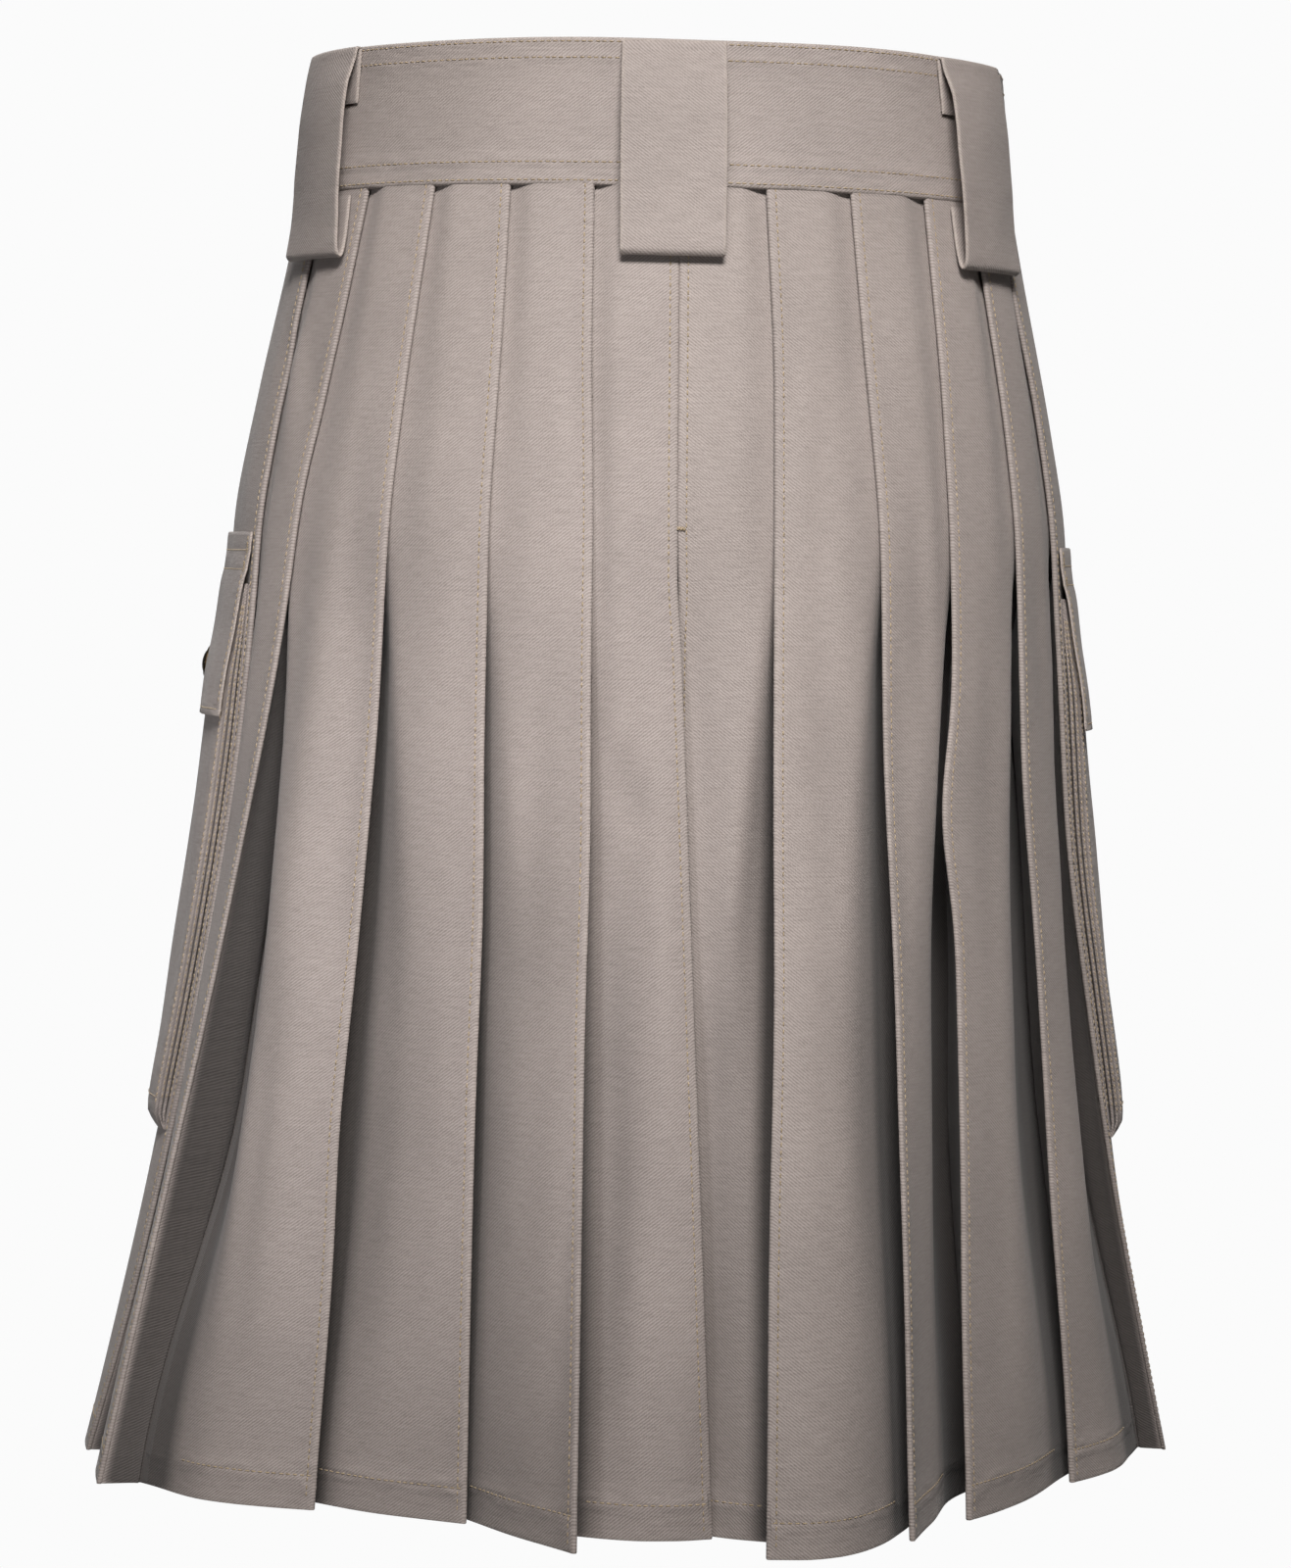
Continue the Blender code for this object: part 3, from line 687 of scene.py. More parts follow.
@dataclass
class Stitching:
    """Rows of lockstitch and bar tacks, gathered into one mesh.

    Attributes:
        name: The piece's name.
        pitch: Distance from stitch to stitch.
        length: Length of the thread that shows in one stitch.
        width: Width of the thread.
        height: Height of the thread above its middle.
    """

    name: str
    pitch: float = 3.0
    length: float = 2.3
    width: float = 0.62
    height: float = 0.34
    marks: list[np.ndarray] = field(default_factory=list)

    def sew(self, points: np.ndarray, normals: np.ndarray, start: float = 1.0, stop: float = 1.0) -> None:
        """Sews a row along a line.

        Args:
            points: The line on the cloth, shaped (n, 3).
            normals: The cloth's normals there.
            start: Bare length before the first stitch.
            stop: Bare length after the last stitch.
        """
        gone = walked(points)
        count = int((gone[-1] - start - stop) / self.pitch)
        if count < 1:
            return
        middle = start + self.pitch * (np.arange(count) + 0.5)
        # Real stitches differ by a few tenths of a millimetre; the wave keeps them from lining up.
        middle += 0.16 * np.sin(middle * 0.83) + 0.1 * np.sin(middle * 0.31 + 1.0)
        reads = [middle, middle - self.length / 2, middle + self.length / 2]
        place, before, after = (
            np.stack([np.interp(at, gone, points[:, k]) for k in range(3)], axis=-1) for at in reads
        )
        facing = np.stack([np.interp(middle, gone, normals[:, k]) for k in range(3)], axis=-1)
        self.lay(place, after - before, facing, 1.0)

    def lay(self, place: np.ndarray, way: np.ndarray, facing: np.ndarray, scale: float) -> None:
        """Lays single stitches.

        Args:
            place: Their middles, shaped (n, 3).
            way: Their directions.
            facing: The cloth's normals there.
            scale: Length against a plain stitch.
        """
        way = way / np.linalg.norm(way, axis=-1, keepdims=True)
        side = np.cross(way, facing)
        side /= np.linalg.norm(side, axis=-1, keepdims=True)
        up = np.cross(side, way)
        half, wide, tall = scale * self.length / 2, self.width / 2, self.height
        form = [(-half, 0, -0.16), (half, 0, -0.16)]
        for at in (-0.6 * half, 0.6 * half):
            form += [(at, 0, tall), (at, wide, 0.04), (at, 0, -0.2), (at, -wide, 0.04)]
        shape = np.array(form)
        marks = (
            place[:, None]
            + shape[None, :, :1] * way[:, None]
            + shape[None, :, 1:2] * side[:, None]
            + shape[None, :, 2:] * up[:, None]
        )
        self.marks.append(marks)

    def tack(self, place: np.ndarray, way: np.ndarray, facing: np.ndarray, long: float, wide: float) -> None:
        """Sews a bar tack: short threads side by side across a bar.

        Args:
            place: Middle of the bar.
            way: Direction of the bar.
            facing: The cloth's normal.
            long: Length of the bar.
            wide: Width of the bar.
        """
        way = way / np.linalg.norm(way)
        across = np.cross(way, facing)
        steps = np.linspace(-long / 2, long / 2, max(3, int(long / 0.55)))
        spots = place + steps[:, None] * way
        leans = across + 0.18 * np.where(np.arange(len(steps)) % 2, 1, -1)[:, None] * way
        self.lay(spots, leans, np.tile(facing, (len(steps), 1)), wide / self.length)

    def build(self, surface: bpy.types.Material) -> bpy.types.Object:
        """Makes the piece."""
        marks = np.concatenate(self.marks)
        count = len(marks)
        ring_a, ring_b = np.arange(2, 6), np.arange(6, 10)
        faces = []
        for k in range(4):
            n = (k + 1) % 4
            faces.append((ring_a[k], ring_a[n], ring_b[n], ring_b[k]))
            faces.append((0, ring_a[n], ring_a[k], ring_a[k]))
            faces.append((1, ring_b[k], ring_b[n], ring_b[n]))
        all_faces = (np.array(faces)[None] + 10 * np.arange(count)[:, None, None]).reshape(-1, 4)
        lists = [f[:3] if f[2] == f[3] else f for f in all_faces.tolist()]
        mesh = bpy.data.meshes.new(self.name)
        mesh.from_pydata((marks.reshape(-1, 3) * MM).tolist(), [], lists)
        mesh.update()
        mesh.shade_smooth()
        return make_object(self.name, mesh, surface)


# ---------------------------------------------------------------- the pleated halves


class Station(NamedTuple):
    """One column of a cloth wall, from the waist seam to the hem."""

    top: float
    middle: float
    release: float
    out: float
    hem: np.ndarray
    lean: float
    tuck: float


def skirt_heights() -> np.ndarray:
    """The heights of a skirt panel's rows, close together at the seam and at the turned hem."""
    top = [SKIRT_TOP + 3.3, SKIRT_TOP, -32.0, -33.6, -36.5]
    middle = list(np.arange(-41.0, -547.0, -4.6))
    foot = [-550.0, -554.0, -556.8, -557.8, -558.5, -559.2, -560.2, -563.0, -567.0, -570.6, -572.0, HEM]
    return np.array(top + middle + foot)


@dataclass
class Skirt:
    """What the skirt panels share: how a column hangs from the waist to the hem."""

    body: BodyForm
    lean_front: float = 1.2
    even_step: float = 4.0

    def place(self, station: Station, z: float) -> np.ndarray:
        """The plan point of a column at a height."""
        if z >= RELEASE:
            along = np.interp(z, [RELEASE, MIDDLE, SKIRT_TOP], [station.release, station.middle, station.top])
            return self.body.ring(z).at(float(along), station.out)
        hung = min(1.0, (RELEASE - z) / (RELEASE - HEM))
        share = hung**station.lean
        hip = self.body.ring(RELEASE).at(station.release, station.out)
        sunk = station.tuck * min(1.0, hung / 0.10) * min(1.0, max(0.0, (1.0 - hung) / 0.35))
        return (1.0 - share) * hip + share * station.hem - np.array([0.0, sunk])

    def hang(self, stations: list[Station], heights: np.ndarray) -> np.ndarray:
        """All columns at all heights, evened so that no line of the tables shows.

        Args:
            stations: The columns.
            heights: The rows' heights, falling.

        Returns:
            Plan points shaped (rows, columns, 2).
        """
        count = int(round((SKIRT_TOP - HEM) / self.even_step)) + 1
        levels = np.linspace(SKIRT_TOP, HEM, count)
        table = np.array([[self.place(s, z) for s in stations] for z in levels])
        table = settle(table, 3.0)
        flat = table.reshape(count, -1)
        read = np.stack([np.interp(-heights, -levels, flat[:, k]) for k in range(flat.shape[1])], axis=-1)
        return read.reshape(len(heights), len(stations), 2)


@dataclass
class PleatedHalf:
    """One half of the pleated back, with the side panel that runs on to the aprons.

    Attributes:
        skirt: How columns hang.
        side: The wearer's side.
        pleats: The pleats from the centre back outward.
        centre: Hidden centre panel at the hem: its seam and its first inner fold.
        creases: Soft creases.
        kinks: Waves in the fold edges.
        gapes: How deep the cloth dives under each fold edge between hips and hem.
        spreads: How much farther than usual each face lies open, as a share of it.
        fold_depth: Width of cloth hidden under each fold at the waist.
        layer: Distance between two layers of cloth, middle to middle.
        tuck: How far the centre seam is drawn in.
        half: Half the cloth's thickness.
    """

    skirt: Skirt
    side: Side
    pleats: tuple[Pleat, ...]
    centre: tuple[tuple[float, float], tuple[float, float]]
    creases: tuple[Crease, ...]
    kinks: tuple[Kink, ...] = ()
    gapes: tuple[float, ...] = (0.0, 0.0, 0.0, 0.0, 0.0, 0.0)
    spreads: tuple[float, ...] = (0.0, 0.0, 0.0, 0.0, 0.0, 0.0)
    fold_depth: float = 22.0
    layer: float = 1.6
    tuck: float = 4.2
    half: float = 0.36
    face_shares: int = 20
    leans: tuple[float, ...] = (1.0, 1.0, 1.0, 1.0, 1.15, 1.6)
    near: tuple[float, ...] = (0.0, 0.7, 1.4, 2.0, 2.6, 3.2, 4.3, 6.0)
    panel_columns: int = 46

    def outward(self, way: np.ndarray) -> np.ndarray:
        """The outward unit vector beside a direction that leads away from the centre back."""
        way = way / np.linalg.norm(way)
        return self.side.value * np.array([-way[1], way[0]])

    @staticmethod
    def curve(start: np.ndarray, middle: np.ndarray, end: np.ndarray, t: float) -> np.ndarray:
        """A parabola through three plan points."""
        pull = 2.0 * middle - 0.5 * (start + end)
        return (1 - t) ** 2 * start + 2 * t * (1 - t) * pull + t * t * end

    def stations(self) -> list[Station]:
        """The columns of this half, as the solid has them."""
        side = self.side.value
        u = side * self.fold_depth
        seam_hem, first_inner = (np.array(p) for p in self.centre)
        seam = -3.0 + side * 0.15 + side * 0.25
        first = self.pleats[0]
        deep = -2 * self.layer
        made = [
            Station(seam, seam, seam, deep, seam_hem, 1.0, self.tuck),
            Station(
                first.top + u / 2, first.middle + u / 2, first.release + u / 2, deep,
                0.5 * (seam_hem + first_inner), 1.0, self.tuck * (0.7 if side > 0 else 1.0),
            ),
        ]
        inner, inner_way = first_inner, first_inner - seam_hem
        for k, pleat in enumerate(self.pleats):
            edge = np.array(pleat.edge)
            last = k == len(self.pleats) - 1
            lean = self.leans[k]
            if last:
                hem = self.skirt.body.ring(HEM)
                way = hem.point(hem.locate(pleat.edge)[0] + side * 4.0) - edge
            else:
                way = self.curve(edge, np.array(pleat.face), np.array(pleat.inner), 0.1) - edge
            tuck = self.tuck if (side < 0 and k == 0) else 0.0
            fold = inner + self.layer * self.outward(inner_way)
            back = edge - self.layer * self.outward(way)
            under = (pleat.top, pleat.middle, pleat.release)
            deeper = [value + u for value in under]
            halfway = [value + u / 2 for value in under]
            made.append(Station(*deeper, deep, inner, lean, tuck * 0.6))
            made.append(Station(*deeper, -self.layer, fold, lean, tuck * 0.6))
            made.append(Station(*halfway, -self.layer, 0.5 * (fold + back), lean, tuck * 0.85))
            made.append(Station(*under, -self.layer, back, lean, tuck))
            made.append(Station(*under, 0.0, edge, lean, tuck))
            if last:
                made += [self.panel_station((i + 1) / 13) for i in range(13)]
                break
            after = self.pleats[k + 1]
            next_edge = (after.top, after.middle, after.release)
            columns = (
                ([v + u / 2 for v in under], 0.0, 0.85),
                ([v + u for v in under], 0.0, 0.6),
                ([v + u + side * 1.5 for v in under], 0.0, 0.5),
                ([v - side * 1.5 for v in next_edge], deep, 0.0),
                ([v + u / 2 for v in next_edge], deep, 0.0),
            )
            span = after.release + u - pleat.release
            for along, out, sink in columns:
                t = (along[2] - pleat.release) / span
                hem_point = self.curve(edge, np.array(pleat.face), np.array(pleat.inner), t)
                made.append(
                    Station(*along, out, hem_point, lean + t * (self.leans[k + 1] - lean), tuck * sink)
                )
            inner = np.array(pleat.inner)
            inner_way = inner - self.curve(edge, np.array(pleat.face), inner, 0.9)
        return made

    def panel_station(self, share: float) -> Station:
        """A column of the side panel: share 0 is the last fold edge, 1 the side seam."""
        pleat = self.pleats[-1]
        hem = self.skirt.body.ring(HEM)
        seam = [self.side.value * value for value in SIDE_SEAM]
        start_along, start_out = hem.locate(pleat.edge)
        under = (pleat.top, pleat.middle, pleat.release)
        along = [a + share * (b - a) for a, b in zip(under, seam)]
        hem_along = start_along + share * (seam[3] - start_along)
        hem_out = start_out * max(0.0, 1.0 - share / 0.5)
        lean = self.leans[-1] + max(0.0, share - 0.6) / 0.4 * (self.skirt.lean_front - self.leans[-1])
        return Station(*along, 0.0, hem.at(hem_along, hem_out), lean, 0.0)

    @staticmethod
    def hairpin(start: np.ndarray, end: np.ndarray, tip: np.ndarray, count: int) -> np.ndarray:
        """Points round a fold.

        Args:
            start: Where each row enters the fold, shaped (rows, 2).
            end: Where it leaves.
            tip: The direction of the fold's tip.
            count: Points between the two ends.

        Returns:
            The points, shaped (rows, count, 2).
        """
        tip = tip / np.linalg.norm(tip, axis=-1, keepdims=True)
        middle = 0.5 * (start + end)
        reach = 0.5 * np.linalg.norm(end - start, axis=-1, keepdims=True)
        turns = np.pi * np.arange(1, count + 1) / (count + 1)
        rounds = [middle + np.cos(t) * (start - middle) + np.sin(t) * reach * tip for t in turns]
        return np.stack(rounds, axis=1)

    def face(self, knots: np.ndarray, line: np.ndarray, count: int) -> tuple[np.ndarray, np.ndarray]:
        """A pleat's face, read at true distances from its fold edge.

        Args:
            knots: Where the table's columns lie.
            line: The table's columns, shaped (rows, columns, 2).
            count: Columns past the ones by the edge.

        Returns:
            The face's plan points and each one's distance from the edge.
        """
        fine = glide(knots, line, np.linspace(knots[0], knots[-1], 90))
        gone = walked(fine)
        near = np.array(self.near)
        rest = np.linspace(0.0, 1.0, count + 1)[1:]
        wanted = np.concatenate([np.tile(near, (len(gone), 1)), near[-1] + rest * (gone[:, -1:] - near[-1])], axis=1)
        points = np.stack(
            [
                np.stack([np.interp(w, g, row[:, k]) for k in range(2)], axis=-1)
                for w, g, row in zip(wanted, gone, fine)
            ]
        )
        return points, wanted

    def grid(self) -> Grid:
        """The middle of the cloth, with every fold, crease and stitched line."""
        side = self.side.value
        heights = skirt_heights()
        coarse = self.skirt.hang(self.stations(), heights)
        rows = len(heights)
        parts: list[np.ndarray] = []
        alongs: list[np.ndarray] = []
        edges: list[np.ndarray] = []
        dives: list[np.ndarray] = []
        insides: list[np.ndarray] = []
        owners: list[int] = []
        self.edge_columns: list[int] = []
        self.stitch_columns: list[int] = []
        self.face_columns: list[tuple[int, int]] = []

        def take(
            points: np.ndarray, along: np.ndarray, edge: np.ndarray, owner: int, dive: np.ndarray, inside: np.ndarray
        ) -> None:
            """Adds columns: plan points, distance along and from the fold, pleat, dive, and how hidden, which sets the
            painted shade.
            """
            insides.append(np.broadcast_to(inside, points.shape[:2]))
            parts.append(points)
            alongs.append(np.broadcast_to(along, points.shape[:2]))
            edges.append(np.broadcast_to(edge, points.shape[:2]))
            dives.append(np.broadcast_to(dive, points.shape[:2]))
            owners.extend([owner] * points.shape[1])

        first = self.pleats[0]
        lead = glide(np.array([0.0, 0.5, 1.0]), coarse[:, :3], np.linspace(0, 0.9, 7))
        lead_along = -3.0 + np.linspace(0, 0.9, 7) * (first.release + side * self.fold_depth + 3.0)
        gape = self.gapes[0]
        take(lead, lead_along, np.full(7, 40.0), -1, np.array([gape]), np.array([1.0]))
        at = 2
        for k, pleat in enumerate(self.pleats):
            inner, fold, back, edge = (coarse[:, at + j] for j in (0, 1, 3, 4))
            away = pleat.release + side * self.fold_depth
            incoming = inner - parts[-1][:, -1]
            gape = self.gapes[k]
            take(inner[:, None], np.array([away]), np.array([self.fold_depth]), k, np.array([gape]), np.array([1.0]))
            turn = self.hairpin(inner, fold, incoming, 2)
            take(turn, np.array([away]), np.array([self.fold_depth]), k, np.array([gape]), np.array([1.0]))
            shares = np.array([0.0, 0.12, 0.3, 0.5, 0.7, 0.85, 0.93, 0.975, 1.0])
            rear = glide(np.array([0.0, 0.5, 1.0]), coarse[:, at + 1 : at + 4], shares)
            rear_edge = walked(rear)[:, -1:] - walked(rear)
            hidden = ramp(shares, 1.0, 0.75)
            take(rear, away + shares * (pleat.release - away), rear_edge, k, gape * ramp(shares, 1.0, 0.1), hidden)
            self.edge_columns.append(len(owners) + 1)
            if k < len(self.pleats) - 1:
                stop = at + 11
                after = self.pleats[k + 1]
                end = after.release + side * self.fold_depth
                knots = [pleat.release, pleat.release + side * 11.0, pleat.release + side * 22.0]
                knots += [pleat.release + side * 23.5, after.release - side * 1.5, after.release + side * 11.0, end]
                count = self.face_shares
            else:
                stop = at + 4 + 14
                end = side * SIDE_SEAM[2]
                knots = list(np.linspace(pleat.release, end, 14))
                count = self.panel_columns
            knot_at = np.array(knots) * side
            front, wanted = self.face(knot_at, coarse[:, at + 4 : stop], count)
            turn = self.hairpin(back, edge, edge - front[:, 3], 3)
            take(turn, np.array([pleat.release]), np.array([0.0]), k, np.array([0.0]), np.array([0.0]))
            start = len(owners)
            if k == len(self.pleats) - 1:
                self.panel_start = start
                use = front
                spread = wanted
            else:
                use, spread = front[:, :-1], wanted[:, :-1]
            whole = wanted[:, -1:]
            next_gape = self.gapes[k + 1] if k < len(self.pleats) - 1 else 0.0
            along = pleat.release + spread / whole * (end - pleat.release)
            # Each face opens in a wedge: close beside the next fold at the hips, wider farther down.
            widening = ramp(-heights, 165.0, 350.0)[:, None]
            shown = spread / whole - self.spreads[k]
            opened = ramp((shown - 0.60 + 0.26 * widening) / (0.22 + 0.24 * widening), 0.0, 1.0)
            # How far the face lies hidden under the next fold; it sets the face's painted shade.
            hidden = ramp((shown - 0.64 + 0.09 * widening) / 0.2, 0.0, 1.0) * (k < len(self.pleats) - 1)
            take(use, along, spread, k, next_gape * opened, hidden)
            self.stitch_columns.append(start + 4)
            self.face_columns.append((start, len(owners)))
            at += 10
        plan = np.concatenate(parts, axis=1)
        self.along = np.concatenate(alongs, axis=1)
        self.edge = np.concatenate(edges, axis=1)
        self.heights = heights
        owner = np.array(owners)
        tall = np.broadcast_to(heights[:, None], plan.shape[:2])
        points = np.concatenate([plan, tall[..., None]], axis=-1)
        outward = self.skirt.body.facing(points)
        ways = side * np.stack([outward[..., 1], -outward[..., 0]], axis=-1)
        lift = self.lift(self.along, tall)
        dive = np.concatenate(dives, axis=1)
        slit = 6.0 * (np.abs(self.along + 3.0) < 34.0) * (self.edge > 0.0) * (dive > self.gapes[0] - 0.1)
        lift = lift - slit * ramp(-tall, 160.0, 176.0) * (1.0 - ramp(-tall, 215.0, 300.0))
        lift = lift - dive * ramp(-tall, 160.0, 232.0) * (1.0 - 0.75 * ramp(-tall, 400.0, 565.0))
        points[..., :2] += lift[..., None] * outward
        for kink in self.kinks:
            near = np.where(owner[None] == kink.pleat, bell(self.edge, 20.0), 0.0)
            shift = kink.shift * bell(tall - kink.height, kink.spread) * near
            points[..., :2] -= shift[..., None] * ways
        # The lockstitch draws the cloth in 2.5 mm from each fold and above the turned hem.
        face = self.edge_distance(owner)
        drawn = 0.11 * bell(face - 2.6, 0.75) * ramp(face, 0.6, 1.8)
        hem_row = bell(tall - (HEM + HEM_TURN), 0.9)
        outside = (face > 0) & (face < 1e3)
        drawn = drawn + 0.2 * hem_row * outside
        made = Grid(points, self.flat_cloth(tall), np.zeros_like(tall), np.zeros_like(tall), side)
        made.points = made.points - drawn[..., None] * made.normals()
        made.wear_and_shade = bell(face, 0.8) * (face < 1e3) * (0.20 + 0.14 * np.sin(tall / 23.0) * np.sin(tall / 7.3))
        made.wear_and_shade = made.wear_and_shade * (0.25 + 0.75 * ramp(-tall, 160.0, 240.0))
        made.wear_and_shade = np.clip(made.wear_and_shade + 0.5 * ramp(-tall, 571.2, 572.5), 0, 1)
        # Painted shade: below the hips, negative values darken the cloth where it lies hidden inside the pleats.
        made.wear_and_shade = made.wear_and_shade - np.concatenate(insides, axis=1) * ramp(-tall, 164.0, 215.0)
        # Painted shade: darker again where the cloth dives in, by up to 0.3.
        made.wear_and_shade = made.wear_and_shade - np.clip(-lift / 14.0, 0.0, 0.3)
        made.pucker = np.clip(0.5 * bell(face - 2.6, 3.2) * (face < 1e3) + bell(tall - (HEM + HEM_TURN), 4.0) * outside, 0, 1)
        return made

    def edge_distance(self, owner: np.ndarray) -> np.ndarray:
        """Distance from the fold edge on the faces, and far more elsewhere."""
        face = np.full_like(self.edge, 1e4)
        for start, stop in self.face_columns:
            face[:, start:stop] = self.edge[:, start:stop]
        for column in self.edge_columns:
            face[:, column - 1 : column + 3] = 0.0
        return face

    def flat_cloth(self, tall: np.ndarray) -> np.ndarray:
        """Each point's place on the flat cloth: the grain follows each fold edge."""
        across = self.edge.copy()
        column = 0
        for k, (start, stop) in enumerate(self.face_columns):
            across[:, column:start] *= -1.0
            across[:, column:stop] += 137.0 * k + 900.0 * (self.side is Side.RIGHT)
            column = stop
        return np.stack([across, tall], axis=-1)

    def lift(self, along: np.ndarray, tall: np.ndarray) -> np.ndarray:
        """How far creases and the cloth's slow unevenness move it outward."""
        out = sum(crease.lift(along, tall) for crease in self.creases)
        drop = ramp(-tall, 34.0, 190.0)
        slow = 0.55 * np.sin(along / 13.1 + tall / 61.0 + 0.7) * np.sin(tall / 47.0 + 1.9)
        slow += 0.4 * np.sin(along / 7.9 - tall / 83.0) * np.sin(tall / 29.0 + 0.3 + along / 60.0)
        seam_near = 1.0 - ramp(np.abs(along), SIDE_SEAM[2] - 40.0, SIDE_SEAM[2] - 4.0)
        return (out + drop * slow) * ramp(-tall, 30.8, 52.0) * seam_near

    def build(self, twill: bpy.types.Material, thread: bpy.types.Material) -> list[bpy.types.Object]:
        """Builds the cloth and its stitching.

        Args:
            twill: The cloth's material.
            thread: The thread's material.

        Returns:
            The cloth piece and its stitching.
        """
        self.cloth = self.grid()
        name = f"pleats_{self.side.word}"
        turned = 0.22 * ramp(-self.cloth.points[..., 2], -HEM - HEM_TURN - 0.6, -HEM - HEM_TURN + 1.4)
        piece = shell(f"{name}_cloth", self.cloth, self.half + 0.4 * turned, self.half + turned, twill)
        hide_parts(name)
        rows = Stitching(f"{name}_stitching")
        for column in self.stitch_columns:
            points, normals = self.cloth.line(slice(None), column, self.half + 0.05)
            rows.sew(points, normals, 1.5, 2.0)
        hem_row = int(np.argmin(np.abs(self.heights - (HEM + HEM_TURN))))
        for k, (start, stop) in enumerate(self.face_columns):
            far = self.side.value * self.along[hem_row]
            limit = 1e9 if k == len(self.pleats) - 1 else self.side.value * self.pleats[k + 1].release + 5.0
            last = int(np.searchsorted(far[start:stop], limit)) + start
            points, normals = self.cloth.line(hem_row, slice(start, max(last, start + 3)), self.half + 0.1)
            rows.sew(points, normals, 0.5, 0.5)
        if self.side is Side.RIGHT:
            self.tack_centre(rows)
        sewn = rows.build(thread)
        width, length, area = self.cloth.flat_size()
        return [piece, sewn]

    def tack_centre(self, rows: Stitching) -> None:
        """The bar tack where the centre back opens below the hips."""
        row = int(np.argmin(np.abs(self.heights + 171.0)))
        point, normal = self.cloth.line(row, self.face_columns[0][0] + 4, self.half + 0.25)
        rows.tack(point + np.array([3.4, 0.5, 0.0]), np.array([1.0, 0.0, 0.05]), normal, 5.5, 2.0)

    def side_surface(self, share: float, z: float) -> tuple[np.ndarray, np.ndarray]:
        """A point and normal of the side panel's middle.

        Args:
            share: 0 at the last fold edge, 1 at the side seam.
            z: The height.

        Returns:
            The point and the outward unit normal.
        """
        start, stop = self.face_columns[-1]
        if not hasattr(self, "panel_normals"):
            self.panel_normals = self.cloth.normals()[:, start:stop]
            self.panel_points = self.cloth.points[:, start:stop]
            self.panel_shares = self.edge[:, start:stop] / self.edge[:, stop - 1 : stop]
        row = int(np.clip(np.searchsorted(-self.heights, -z) - 1, 0, len(self.heights) - 2))
        t = float(np.clip((self.heights[row] - z) / (self.heights[row] - self.heights[row + 1]), 0, 1))
        found = []
        for table in (self.panel_points, self.panel_normals):
            pair = [
                np.array([np.interp(share, self.panel_shares[r], table[r, :, k]) for k in range(3)])
                for r in (row, row + 1)
            ]
            found.append((1 - t) * pair[0] + t * pair[1])
        return found[0], found[1] / np.linalg.norm(found[1])


# ---------------------------------------------------------------- the aprons


